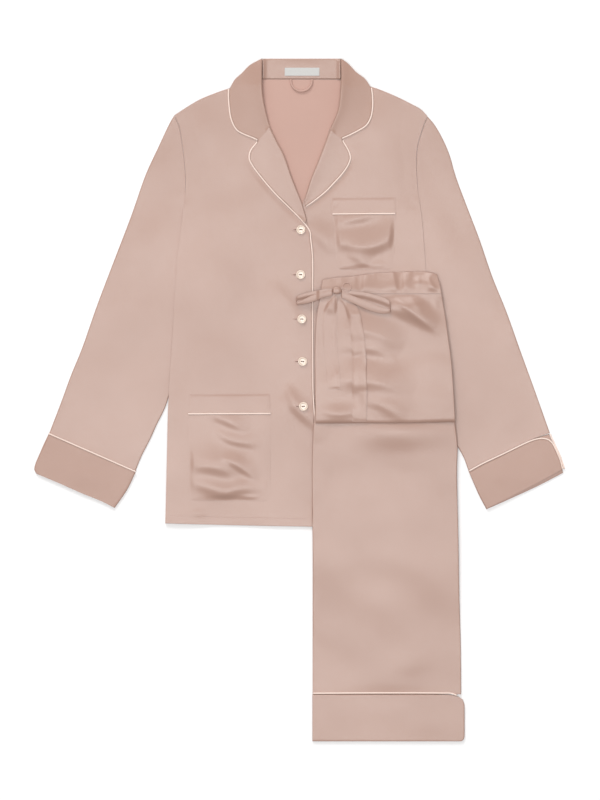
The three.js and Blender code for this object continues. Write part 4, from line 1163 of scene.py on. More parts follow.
@dataclass
class Sleeve:
    """One sleeve with its cuff, on the wearer's right or left."""

    sleeve_outer_right: Rows = ((-188.4, 426.3), (-195, 415), (-212, 379), (-230.5, 339), (-252, 278),
        (-278, 210), (-304, 141.5), (-327, 76), (-343, 37), (-358, -4), (-375.8, -50.2))
    sleeve_inner_right: Rows = ((-172.3, 306.6), (-172, 260), (-176, 200), (-184, 100), (-198, 0),
        (-216, -40.6), (-225, -60.5), (-237.5, -85), (-246.4, -107))
    sleeve_outer_left: Rows = ((191.4, 425.3), (201, 414), (213, 394), (224, 369), (234, 335), (248, 297),
        (269, 242), (289, 184), (310, 132), (331, 73), (351, 18), (375, -49.6))
    sleeve_inner_left: Rows = ((177.3, 311.6), (177, 260), (179, 200), (187, 100), (202, -5), (219, -41),
        (236.6, -69.8), (246, -87), (252.8, -105.6))
    cuff_seam_right: Rows = ((-375.8, -50.2), (-246.4, -107))
    cuff_seam_left: Rows = ((252.8, -105.6), (272.6, -94.6), (306.6, -78.6), (335.6, -64.6), (352, -57.6),
        (375, -49.6))
    cuff_right_north: Rows = ((-376.8, -51.6), (-246.3, -108.8))
    cuff_right_west: Rows = ((-394.8, -110.6), (-398.1, -104), (-388, -76), (-376.8, -51.6))
    cuff_right_east: Rows = ((-277.4, -162), (-258.6, -134.4), (-246.3, -108.8))
    cuff_right_south: Rows = ((-394.8, -110.6), (-358, -126), (-328, -139.4), (-297, -152), (-277.4, -162))
    cuff_edge_left: Rows = ((254, -106.6), (273, -96), (307, -80), (336, -66), (347.6, -61), (357, -58.4),
        (366, -58), (373, -60), (378.7, -65), (383, -73), (391, -92), (394, -104))
    cuff_under_edge_left: Rows = ((375.6, -51.6), (385, -73), (391.5, -87), (397, -103.6))
    cuff_left_south: Rows = ((280.4, -162.8), (313, -148.4), (359, -127), (391, -111))
    cuff_left_west: Rows = ((280.4, -162.8), (269.2, -142), (254.2, -109.4))
    cuff_under_north: Rows = ((252.8, -106), (272.6, -95), (306.6, -79), (335.6, -65), (352, -58),
        (373.6, -51.4))
    cuff_under_east: Rows = ((394.8, -109.4), (389.8, -87.6), (383.4, -73.7), (373.6, -51.4))
    cuff_under_west: Rows = ((280, -164), (268.8, -143), (252.8, -106))
    cuff_under_south: Rows = ((280, -164), (313, -149.4), (359, -128), (394.8, -109.4))
    corner_share: float = 0.72

    def build(self, body: JacketBody) -> None:
        """Lays both sleeves and their cuffs.

        Args:
            body: The jacket's body, whose armholes the sleeves are sewn to.
        """
        self.right(body)
        self.left(body)

    def right(self, body: JacketBody) -> None:
        """Lays the wearer's right sleeve, the closed cuff and its piping."""
        bare = Ground()
        top = smooth_line(body.armhole_right)[::-1]
        outer = smooth_line(self.sleeve_outer_right)[::-1]
        inner = smooth_line(self.sleeve_inner_right)[::-1]
        seam = smooth_line(self.cuff_seam_right)
        relief = (
            Rumple(0.7, 110, 7, 0.6), Seam(body.armhole_right, 3.4, 16),
            Fold(((-196, 300), (-236, 200), (-270, 100)), 1.0, 26, 30),
            Fold(((-215, 380), (-250, 290), (-300, 150)), 0.7, 20, 16),
            Fold(((-340, 0), (-300, -40), (-262, -80)), 0.9, 22, 16),
            Swell(-200, 240, 26, 50, 0.8),
        )
        Tube("right_sleeve_cloth", "sleeve_right", Sides(seam, top, outer, inner), Finish.SATIN, (420, 560),
             relief=relief, area=0.125, on=bare).lay()
        cuff = Sides(smooth_line(self.cuff_right_south), smooth_line(self.cuff_right_north),
                     smooth_line(self.cuff_right_west), smooth_line(self.cuff_right_east))
        Tube("right_cuff_cloth", "cuff_right", cuff, Finish.CROSS, (290, 66), relief=(
            Fold(((-384, -86), (-330, -108), (-268, -134)), 0.7, 12, 14), Swell(-330, -120, 30, 12, 0.5)),
            wall=1.3, hollow=0.5, cell=2.2, calm=10, area=0.0185, on=Ground()).lay()
        line = shifted(smooth_line(self.cuff_right_north), PIPING_RADIUS + SEAM_GAP)
        lay_piping("right_cuff_piping", "piping_cuff_right", piping_route(line))

    def left(self, body: JacketBody) -> None:
        """Lays the wearer's left sleeve and the two flaps of its open cuff."""
        top = smooth_line(body.armhole_left)
        outer = smooth_line(self.sleeve_outer_left)[::-1]
        inner = smooth_line(self.sleeve_inner_left)[::-1]
        relief = (
            Rumple(0.7, 110, 9, 2.5), Seam(body.armhole_left, 3.4, 16),
            Fold(((200, 300), (236, 200), (270, 90)), 1.0, 30, 26),
            Fold(((215, 380), (256, 280), (300, 150)), 0.8, 18, 22),
            Fold(((350, 0), (300, -40), (262, -80)), 0.9, 16, 22),
            Swell(205, 240, 26, 50, 0.8),
        )
        Tube("left_sleeve_cloth", "sleeve_left",
             Sides(smooth_line(self.cuff_seam_left), top, inner, outer), Finish.SATIN, (420, 560),
             relief=relief, area=0.125, on=Ground()).lay()
        bare = Ground()
        under = Sides(smooth_line(self.cuff_under_south), smooth_line(self.cuff_under_north),
                      smooth_line(self.cuff_under_west), smooth_line(self.cuff_under_east))
        Cloth("left_cuff_under_cloth", "cuff_left_under", under, Finish.CROSS, (150, 68), ply=1.4, cell=2.2,
              calm=10, hugging=True, sewn="s", area=0.0098, on=bare).lay()
        route = piping_route(smooth_line(self.cuff_under_edge_left), -0.4)
        lay_piping("left_cuff_under_piping", "piping_cuff_left_under", route)
        edge = shifted(smooth_line(self.cuff_edge_left), -(PIPING_RADIUS + SEAM_GAP))
        corner = round(self.corner_share * (len(edge) - 1))
        upper = Sides(smooth_line(self.cuff_left_south), edge[:corner + 1],
                      smooth_line(self.cuff_left_west), edge[corner:][::-1])
        route = piping_route(smooth_line(self.cuff_edge_left))
        Cloth("left_cuff_cloth", "cuff_left", upper, Finish.CROSS, (150, 68), ("left_cuff_under_cloth",), (
            Fold(((268, -126), (320, -104), (380, -82)), 0.6, 10, 14), Swell(330, -118, 26, 12, 0.6)),
            ply=1.4, cell=2.2, calm=10, hugging=True, sewn="s", area=0.0094, on=bare).lay()
        lay_piping("left_cuff_piping", "piping_cuff_left", route)


@dataclass
class Collar:
    """The notched collar: back, leaves and lapels with their piping, the label and the hanging loop."""

    lapel_edge_right: Rows = ((7.4, 264), (-18.4, 291), (-37.6, 310), (-62, 339), (-71, 351.5),
        (-75.3, 360), (-75.5, 367), (-73, 374.5), (-64.2, 385.6))
    lapel_edge_left: Rows = ((9, 289.8), (23, 299.5), (39, 312.5), (52, 326), (63.7, 339), (72.5, 352),
        (75.8, 362), (74, 371), (65, 387.2))
    leaf_edge_right: Rows = ((-63.5, 389.7), (-71, 393), (-83.5, 398), (-93.5, 403.6), (-98.8, 411),
        (-103.4, 423), (-105.7, 439), (-106.7, 454), (-106.4, 465.5))
    leaf_edge_left: Rows = ((64, 392.3), (75, 397), (88, 403.6), (99.4, 411), (106, 422), (109, 437),
        (109, 455), (107.4, 467.5))
    lapel_roll_right: Rows = ((10, 271.5), (2.6, 296), (-4, 313), (-13, 336), (-24, 368), (-34, 387),
        (-44.5, 408.4))
    lapel_roll_left: Rows = ((7, 298.5), (16.4, 330), (26, 354), (39, 388), (45, 403.6))
    leaf_roll_right: Rows = ((-45.2, 411.4), (-51, 433), (-56, 463), (-56.4, 511.3))
    leaf_roll_left: Rows = ((46, 406.8), (57, 434), (60.4, 460), (62, 484), (61.6, 511.3))
    leaf_top_right: Rows = ((-104.8, 466.6), (-97, 480), (-87, 489), (-75, 501), (-56.4, 511.3))
    leaf_top_left: Rows = ((61.6, 511.3), (71.8, 504), (84.7, 490.6), (97.7, 480.8), (105.8, 469.4))
    neck: float = 480.9
    fold: float = 511.7
    west: float = -55.9
    east: float = 61.2
    fall: float = 452.0
    fall_reach: float = 42.0
    stand: Grid | None = None
    loop_x: float = 2.5
    loop_top: float = 480.5
    loop_bottom: float = 461.0
    loop_half: float = 18.6
    loop_radius: float = 1.6
    label_box: tuple[float, float, float, float] = (-22.6, 485.8, 29.5, 497.9)

    def build(self, body: JacketBody) -> None:
        """Puts the stand of the collar's back on the height map, then lays the leaves and lapels, then what is sewn on.

        Args:
            body: The jacket's body, whose edge shares its piping with the lapel.
        """
        GROUND.cover(self.stand)
        self.side("right", self.lapel_roll_right, self.lapel_edge_right, self.leaf_roll_right,
                  self.leaf_edge_right, self.leaf_top_right, body.front_edge)
        self.side("left", self.lapel_roll_left, self.lapel_edge_left, self.leaf_roll_left,
                  self.leaf_edge_left, self.leaf_top_left)
        self.loop()
        self.label()

    def back(self) -> None:
        """Lays the collar behind the neck: the fall under the back, the fold and the stand that shows."""
        half, level, bend = PLY / 2, 2.5 - PLY / 2, 1.0
        middle = (half + level) / 2
        rows = [(y, half, self.fall_reach * (self.fold - y) / (self.fold - self.fall))
                for y in np.linspace(self.fall, self.fold - bend - 1, 16)]
        rows += [(self.fold - bend - half + bend * math.cos(a), middle + (level - half) / 2 * math.sin(a), 0)
                 for a in np.linspace(-math.pi / 2, math.pi / 2, 9)]
        rows += [(y, level, 0) for y in np.linspace(self.fold - bend - 1, self.neck, 14)]
        across = np.linspace(0, 1, 61)
        centre = np.array([np.column_stack([self.west - reach + across * (self.east - self.west + 2 * reach),
                                            np.full(61, y), np.full(61, z)]) for y, z, reach in rows])
        stand = centre[25:]
        for fold in (Fold(((-50, 500), (0, 503), (55, 500)), 0.4, 6, 8),
                     Fold(((-57, 400), (-56.5, 495), (-57, 590)), 3.2, 5, 5),
                     Fold(((62, 400), (61.5, 495), (62, 590)), 3.2, 5, 5),
                     Pucker(((-55, self.neck + 1), (60, self.neck + 1)), 0.12, 7, 4)):
            stand[..., 2] += fold.height(stand[..., :2])
        made = strip("collar_back_cloth", centre, PLY)
        GROUND.cover(centre[:16] + np.array([0, 0, half]))
        self.stand = stand + np.array([0, 0, half])
        dress(made, Finish.SATIN)
        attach(made, BODY)
        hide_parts("collar_back")
        LOG.info("collar's back laid")

    def side(self, hand: str, lapel_roll: Rows, lapel_edge: Rows, leaf_roll: Rows, leaf_edge: Rows,
             leaf_top: Rows, front_edge: Rows = ()) -> None:
        """Lays the leaf and the lapel of one side.

        Args:
            hand: The wearer's side.
            lapel_roll: The line that the lapel turns back along.
            lapel_edge: Its piping.
            leaf_roll: The line that the leaf turns back along.
            leaf_edge: Its piping.
            leaf_top: The leaf's edge along the shoulder.
            front_edge: The front's edge, where the lapel's piping starts at the hem.
        """
        inward = PIPING_RADIUS + SEAM_GAP
        turn = -1.0 if hand == "right" else 1.0
        lapel_line, leaf_line = smooth_line(lapel_edge), smooth_line(leaf_edge)
        meet = (lapel_line[-1] + leaf_line[0]) / 2
        whole = np.vstack([smooth_line((*front_edge, *lapel_edge)), 0.4 * lapel_line[-1] + 0.6 * meet])
        leaf_line = np.vstack([0.4 * leaf_line[0] + 0.6 * meet, leaf_line])
        lapel_route, leaf_route = piping_route(whole, 0.3), piping_route(leaf_line, 0.5)
        lapel_outer, leaf_outer = shifted(lapel_line, turn * inward), shifted(leaf_line, turn * inward)
        lapel_inner, leaf_inner = smooth_line(lapel_roll), smooth_line(leaf_roll)
        notch, gorge = (lapel_outer[-1] + leaf_outer[0]) / 2, (lapel_inner[-1] + leaf_inner[0]) / 2
        over = smooth_line(leaf_top)
        joint = over[0] if hand == "right" else over[-1]
        bare = GROUND.copy()
        for name, node, roll, outer, inner, finish, cut, area in (
                (f"{hand}_lapel_cloth", f"lapel_{hand}", lapel_roll, np.vstack([lapel_outer, notch]),
                 np.vstack([lapel_inner, gorge]), Finish.SATIN, (76, 130), 0.0041),
                (f"{hand}_leaf_cloth", f"collar_{hand}", leaf_roll, np.vstack([notch, leaf_outer, joint]),
                 np.vstack([gorge, leaf_inner]), Finish.CROSS, (62, 125), 0.0056)):
            lapel = finish is Finish.SATIN
            west, east = (outer, inner) if hand == "right" else (inner, outer)
            south = np.linspace(west[0], east[0], 9)
            north = np.linspace(west[-1], east[-1], 9) if lapel else over
            relief = (Roll(roll, 1.0, 2.8, 4, 34) if lapel else Roll(roll, 2.8, 8.2, 3, 48, ease=0.55),)
            Cloth(name, node, Sides(south, north, west, east), finish, cut,
                  (f"{hand}_front_cloth", "back_cloth"), relief, ply=1.0, cell=1.8, calm=10, edge=0.5,
                  hugging=True, area=area, sewn=("e" if hand == "right" else "w") + ("n" if lapel else "s"),
                  on=bare.copy()).lay()
        lapel_node = "piping_front" if front_edge else f"piping_lapel_{hand}"
        lay_piping(f"{hand}_lapel_piping", lapel_node, lapel_route)
        lay_piping(f"{hand}_leaf_piping", f"piping_collar_{hand}", leaf_route)

    def loop(self) -> None:
        """Makes the loop of rolled satin that the jacket hangs from."""
        angle = np.linspace(math.pi, 2 * math.pi, 33)
        bend = self.loop_half - self.loop_radius
        deep = self.loop_top - self.loop_bottom - self.loop_radius
        sag = 0.6 + 0.4 * np.abs(np.sin(angle))
        plan = np.column_stack([self.loop_x + bend * np.cos(angle) * sag ** 0.15,
                                self.loop_top + deep * np.sin(angle)])
        under = GROUND.under(plan[None], 2)[0].max()
        path = np.column_stack([plan, under + self.loop_radius * (0.95 + 0.25 * np.sin(-angle))])
        trim(cord("hanging_loop", path, self.loop_radius, 14), Finish.REVERSE, "hang_loop")

    def label(self) -> None:
        """Sews the blank woven label to the stand."""
        west, south, east, north = self.label_box
        corners = ((west, south), (east, south), (east, north), (west, north))
        sw, se, ne, nw = (np.array(corner, float) for corner in corners)
        sides = Sides(np.linspace(sw, se, 5), np.linspace(nw, ne, 5), np.linspace(sw, nw, 5),
                      np.linspace(se, ne, 5))
        Cloth("label_cloth", "label", sides, Finish.LABEL, (52.1, 12.1), ("collar_back_cloth",),
              (Pucker(((west, north - 1), (east, north - 1)), 0.06, 8, 3),), ply=0.4, cell=1.5, calm=2, edge=0.2,
              hugging=True).lay()
        for name, x in (("label_stitches_west", west + 1.5), ("label_stitches_east", east - 1.5)):
            stitches(name, np.array([(x, south + 0.6), (x, north - 0.6)]), Finish.LABEL, 1.6, 1.1, 0.14)


@dataclass
class Pocket:
    """A patch pocket: its bag, the band above it and the piping between them."""

    name: str
    front: str
    band_top: float
    band_west: float
    band_east: float
    piping: float
    west: Rows
    east: Rows
    relief: Relief
    band_relief: Relief
    cut: tuple[float, float]
    band_cut: tuple[float, float]

    def build(self) -> None:
        """Lays the bag, the band and the piping on the front."""
        inward = PIPING_RADIUS + SEAM_GAP
        line = np.array([(self.west[-1][0] + 0.5, self.piping), (self.east[-1][0] - 0.3, self.piping + 0.6)])
        route = piping_route(line, 0.5)
        west, east = smooth_line(self.west), smooth_line(self.east)
        south = np.linspace(west[0], east[0], 9)
        north = np.linspace(west[-1], east[-1], 9)
        Cloth(f"{self.name}_cloth", self.name, Sides(south, north, west, east), Finish.SATIN, self.cut,
              (self.front,), self.relief, ply=0.45, cell=1.8, calm=40, edge=0.1, hugging=True,
              thin=0.16, melt=9, close=0.15, sewn="n").lay()
        low = self.piping + inward
        band = Sides(np.array([(self.band_west, low), (self.band_east, low + 0.6)]),
                     np.array([(self.band_west, self.band_top), (self.band_east, self.band_top + 0.6)]),
                     np.array([(self.band_west, low), (self.band_west, self.band_top)]),
                     np.array([(self.band_east, low + 0.6), (self.band_east, self.band_top + 0.6)]))
        Cloth(f"{self.name}_band_cloth", f"{self.name}_band", band, Finish.SATIN, self.band_cut, (self.front,),
              self.band_relief, ply=0.45, cell=1.8, calm=20, edge=0.1, hugging=True, thin=0.18, melt=4,
              close=0.2, sewn="s").lay()
        lay_piping(f"{self.name}_piping", f"piping_{self.name}", route)


@dataclass
class Closure:
    """The five shell buttons with their thread, and the buttonholes beside them."""

    buttons: Rows = ((1.7, 254.9), (1.3, 187.6), (3.2, 121), (4.3, 57.5), (5.5, -9.8))
    radius: float = 6.8
    thick: float = 2.5
    hole_apart: float = 1.6
    hole: float = 0.8
    hole_long: float = 17.0

    def build(self) -> None:
        """Works each buttonhole and puts its button over it."""
        for number, (x, y) in enumerate(self.buttons, 1):
            self.buttonhole(number, x, y)
            self.button(number, x, y)

    def buttonhole(self, number: int, x: float, y: float) -> None:
        """Works one buttonhole: a raised edge of thread round a dark cord, which is painted shade for the opening
        between its lips.

        Args:
            number: The button's number, from the top.
            x: The button's middle.
            y: The button's middle.
        """
        angle = np.linspace(0, 2 * math.pi, 41)
        wide, high = self.hole_long / 2, 1.15
        centre = x - 3.6
        plan = np.column_stack([centre + wide * np.cos(angle), y + high * np.sin(angle)])
        under = GROUND.under(plan[None], 0)[0]
        path = np.column_stack([plan, np.full(len(plan), under.max()) + 0.25])
        trim(cord(f"buttonhole_{number}_edge", path, 0.45, 8), Finish.THREAD)
        # Painted shade: a dark cord along the middle stands for the shadow inside the buttonhole's opening.
        slit_shade = np.column_stack([np.linspace(centre - wide + 0.6, centre + wide - 0.6, 9), np.full(9, y),
                                np.full(9, under.max() + 0.12)])
        trim(cord(f"buttonhole_{number}_slit", slit_shade, 0.42, 8), Finish.DARK_THREAD_AND_BUTTONHOLE_SHADE)

    def button(self, number: int, x: float, y: float) -> None:
        """Turns one button, dished and rimmed, with two holes and thread through them.

        Args:
            number: The button's number, from the top.
            x: The button's middle.
            y: The button's middle.
        """
        r, t = self.radius, self.thick
        profile = ((0.0, 0.75 * t), (0.35 * r, 0.74 * t), (0.58 * r, 0.72 * t), (0.7 * r, 0.8 * t),
                   (0.78 * r, 0.95 * t), (0.86 * r, t), (0.94 * r, 0.97 * t), (0.985 * r, 0.86 * t), (r, 0.66 * t),
                   (0.985 * r, 0.42 * t), (0.93 * r, 0.24 * t), (0.8 * r, 0.08 * t), (0.5 * r, 0.0), (0.0, 0.0))
        plan = np.array([[(x + i, y + j) for i in (-5, 0, 5) for j in (-5, 0, 5)]])
        base = float(GROUND.under(plan, 1).max()) + 0.15
        turns = 56
        angles = 2 * math.pi * np.arange(turns) / turns
        points, faces = [(x, y, base + profile[0][1])], []
        for radius, height in profile[1:-1]:
            points += [(x + radius * math.cos(a), y + radius * math.sin(a), base + height) for a in angles]
        points.append((x, y, base))
        last = len(points) - 1
        for k in range(turns):
            n = (k + 1) % turns
            faces.append((0, 1 + k, 1 + n))
            for ring in range(len(profile) - 3):
                a, b = 1 + ring * turns, 1 + (ring + 1) * turns
                faces.append((a + k, b + k, b + n, a + n))
            foot = 1 + (len(profile) - 3) * turns
            faces.append((foot + k, last, foot + n))
        made = mesh_object(f"button_{number}_shell", points, faces)
        self.drill(made, x, y, base)
        trim(made, Finish.SHELL, f"button_{number}")
        lift = base + 0.76 * t
        for share, side in enumerate((-0.35, 0.35)):
            path = np.array([(x - self.hole_apart, y + side, lift - 0.9), (x - self.hole_apart, y + side, lift + 0.1),
                             (x, y + side, lift + 0.42), (x + self.hole_apart, y + side, lift + 0.1),
                             (x + self.hole_apart, y + side, lift - 0.9)])
            trim(cord(f"button_{number}_thread_{share + 1}", smooth_path(path), 0.3, 8), Finish.DARK_THREAD_AND_BUTTONHOLE_SHADE)

    def drill(self, made: bpy.types.Object, x: float, y: float, base: float) -> None:
        """Cuts the two holes through a button.

        Args:
            made: The button.
            x: The button's middle.
            y: The button's middle.
            base: Height of its underside.
        """
        for side in (-1, 1):
            path = np.array([(x + side * self.hole_apart, y, base - 1), (x + side * self.hole_apart, y, base + 4)])
            angles = 2 * math.pi * np.arange(16) / 16
            ring = np.column_stack([np.cos(angles), np.sin(angles)]) * self.hole
            points = [(path[k][0] + i, y + j, path[k][2]) for k in (0, 1) for i, j in ring]
            faces = [(k, (k + 1) % 16, 16 + (k + 1) % 16, 16 + k) for k in range(16)]
            faces += [tuple(range(15, -1, -1)), tuple(range(16, 32))]
            drill = mesh_object("drill", points, faces)
            cut = made.modifiers.new("hole", "BOOLEAN")
            cut.operation, cut.solver, cut.object = "DIFFERENCE", "EXACT", drill
            graph = bpy.context.evaluated_depsgraph_get()
            mesh = bpy.data.meshes.new_from_object(made.evaluated_get(graph))
            made.modifiers.clear()
            old, made.data = made.data, mesh
            bpy.data.meshes.remove(old)
            tool = drill.data
            bpy.data.objects.remove(drill)
            bpy.data.meshes.remove(tool)


def smooth_path(points: Grid) -> Grid:
    """Draws a smooth line in three dimensions."""
    return smooth_line(points, 6)


@dataclass
class Trousers:
    """The trousers, folded: two legs, their turn-ups, the folded seat and the gathered waistband."""

    leg_west: Rows = ((19.3, -441.2), (19.3, -240), (19.3, -60), (24, 0), (26, 80), (30, 148))
    leg_east: Rows = ((241.9, -441.2), (241.4, -374), (239.5, -297), (238, -224), (236.3, -155),
        (235.4, -104), (236.3, -69), (231.6, -24), (225.6, 60), (213, 148))
    turn_up_piping: Rows = ((20, -439.7), (115, -439.2), (211, -439.4), (228, -440), (235.5, -443))
    turn_up_north: Rows = ((19, -441.6), (120, -441.6), (211, -441.8), (227, -442.4), (238, -445))
    turn_up_east: Rows = ((242, -511.7), (245.6, -509.5), (247, -505), (247, -457), (244.5, -449.5),
        (238, -445))
    turn_up_south: Rows = ((19, -511.7), (242, -511.7))
    turn_up_west: Rows = ((19, -511.7), (19, -441.6))
    hip_west: Rows = ((23.6, -35.5), (23, 39), (23, 79), (25.6, 127), (31.6, 158.2))
    hip_east: Rows = ((232.6, -33.4), (229.6, 19), (226.6, 59), (222.5, 91), (217.4, 127), (212, 158.2))
    waist_west: Rows = ((31.6, 158.6), (31.8, 165), (33.7, 179.5))
    waist_east: Rows = ((212, 158.6), (210.5, 168), (205.4, 188))
    waist_north: Rows = ((33.7, 179.5), (51, 182.5), (81, 185.5), (111, 189.5), (151, 191.6), (187, 192),
        (205.4, 188))
    fold_inset: float = 1.6
    fold_south: float = -28.0
    fold_north: float = 153.0

    def build(self) -> None:
        """Lays the legs, the folded layers, the seat and the waistband."""
        before = GROUND.copy()
        self.legs()
        self.turn_up(before)
        self.waistband(self.seat())

    def legs(self) -> None:
        """Lays the two legs, one on the other."""
        west, east = smooth_line(self.leg_west), smooth_line(self.leg_east)
        south = np.linspace(west[0], east[0], 9)
        north = np.linspace(west[-1], east[-1], 9)
        sides = Sides(south, north, west, east)
        Tube("under_leg_cloth", "leg_under", sides, Finish.SATIN, (450, 600), ("left_front_cloth",), cell=5.0,
             calm=12, area=0.268, wall=0.6, hollow=0.2).lay()
        relief = (
            Fold(((46, -42), (150, -50), (254, -47)), 5.2, 24, 26),
            Fold(((100, -84), (160, -92), (222, -88)), 0.8, 16, 14),
            Fold(((40, -128), (100, -140), (160, -136)), 1.2, 24, 24),
            Fold(((60, -170), (120, -180), (170, -176)), 0.8, 16, 20),
            Fold(((120, -392), (158, -398), (200, -392)), 1.0, 18, 14),
            Fold(((24, -430), (120, -424), (238, -430)), 0.8, 22, 12),
            Swell(130, -300, 90, 60, 1.0), Rumple(0.7, 110, 11, 1.4),
        )
        Tube("top_leg_cloth", "leg_top", sides, Finish.SATIN, (450, 600), ("under_leg_cloth",), relief,
             area=0.268, wall=0.6, hollow=0.25).lay()

    def turn_up(self, bare: Ground) -> None:
        """Lays the turn-ups of both legs and the piping of the upper one.

        Args:
            bare: The map from before the legs were laid.
        """
        sides = Sides(smooth_line(self.turn_up_south), smooth_line(self.turn_up_north),
                      smooth_line(self.turn_up_west), np.array(self.turn_up_east, float))
        Cloth("under_turn_up_cloth", "trouser_cuff_under", sides, Finish.SATIN, (236, 72), ply=1.5, cell=3.0,
              calm=2, hugging=True, on=bare).lay()
        Cloth("turn_up_cloth", "trouser_cuff", sides, Finish.SATIN, (236, 72), ("under_turn_up_cloth",), (
            Fold(((30, -470), (120, -466), (230, -472)), 0.5, 16, 20), Swell(190, -490, 40, 16, 0.5)),
            ply=1.5, cell=2.2, calm=2, hugging=True, on=bare).lay()
        lay_piping("turn_up_piping", "piping_trouser_cuff", piping_route(smooth_line(self.turn_up_piping), 0.0))

    def seat(self) -> Ground:
        """Lays the layers that are folded under, then the seat that shows.

        Returns:
            The map from before the seat was laid.
        """
        west, east = smooth_line(self.hip_west), smooth_line(self.hip_east)

        def between(line: Grid, move: float) -> Grid:
            y = np.linspace(self.fold_south, self.fold_north, 20)
            return np.column_stack([np.interp(y, line[:, 1], line[:, 0]) + move, y])

        inner_west, inner_east = between(west, self.fold_inset), between(east, -self.fold_inset)
        fold = Sides(np.linspace(inner_west[0], inner_east[0], 9), np.linspace(inner_west[-1], inner_east[-1], 9),
                     inner_west, inner_east)
        Cloth("folded_layers_cloth", "trouser_fold", fold, Finish.SATIN, (206, 190), ("top_leg_cloth",), ply=2.8,
              cell=4.0, calm=8, edge=1.2, hugging=True).lay()
        bare = GROUND.copy()
        relief = (
            Fold(((139, 168), (147, 150), (172, 128), (214, 96)), 3.6, 18, 6),
            Fold(((156, 172), (163, 157), (184, 132)), 2.2, 12, 5),
            Fold(((96, 141), (138, 138), (162, 129), (204, 106)), 4.2, 24, 10),
            Fold(((50, 106), (86, 106), (116, 100), (158, 80)), 5.6, 28, 13),
            Fold(((50, 80), (84, 80), (114, 76), (148, 61)), 4.2, 20, 10),
            Fold(((46, 30), (86, 30), (122, 26), (172, 8)), 5.8, 30, 13),
            Fold(((86, 0), (120, -5), (140, -16), (170, -38)), 5.0, 24, 13),
            Fold(((24, -12), (56, -21), (96, -15)), 2.6, 14, 7),
            Fold(((180, 150), (196, 80), (206, 0)), 0.8, 24, 20),
            Fold(((192, 166), (201, 150), (206, 134)), 1.4, 6, 4),
            Roll(((23, -36), (120, -35.8), (233, -34)), 0.0, 0.0, 3, 10, 6.5),
            Rumple(0.5, 60, 21, 1.2), Seam(((20, 158.3), (220, 158.3)), 17.3, 9),
        )
        sides = Sides(np.linspace(west[0], east[0], 9), np.linspace(west[-1], east[-1], 9), west, east)
        Cloth("seat_cloth", "trouser_hip", sides, Finish.SATIN, (232, 205), ("folded_layers_cloth",), relief,
              ply=1.2, cell=2.0, calm=26, edge=0.7, hugging=True, sewn="ns").lay()
        return bare

    def waistband(self, bare: Ground) -> None:
        """Lays the waistband, drawn up into gathers.

        Args:
            bare: The map from before the seat was laid.
        """
        sides = Sides(np.array([self.waist_west[0], self.waist_east[0]], float) - np.array([0, 0.35]),
                      smooth_line(self.waist_north), smooth_line(self.waist_west), smooth_line(self.waist_east))
        relief = (
            Fold(((-40, 171), (110, 177), (280, 178)), 2.2, 13, 14),
            Fold(((62, 140), (61, 172), (64, 204)), 0.8, 4, 9),
            Fold(((83, 140), (81, 172), (84, 206)), 0.8, 9, 5),
            Fold(((106, 136), (97, 173), (106, 210)), 2.5, 4.5, 17),
            Fold(((146, 134), (142, 171), (134, 210)), 2.8, 15, 5),
            Fold(((165, 134), (157, 171), (167, 210)), 2.4, 4.5, 10),
            Swell(177, 176, 5, 7, 2.0),
            Fold(((212, 154), (197, 171), (186, 190)), 2.4, 8, 4),
            Fold(((204, 196), (198, 187), (190, 182)), 1.0, 4, 4),
            Pucker(((34, 180), (111, 190), (200, 191)), 0.22, 12, 6),
            Seam(((20, 158.3), (220, 158.3)), 17.3, 7),
        )
        Cloth("waistband_cloth", "waistband", sides, Finish.SATIN, (200, 64), ("seat_cloth", "left_front_cloth"),
              relief, ply=1.2, cell=1.5, calm=30, edge=0.8, hugging=True, area=0.0068, on=bare, sewn="s").lay()


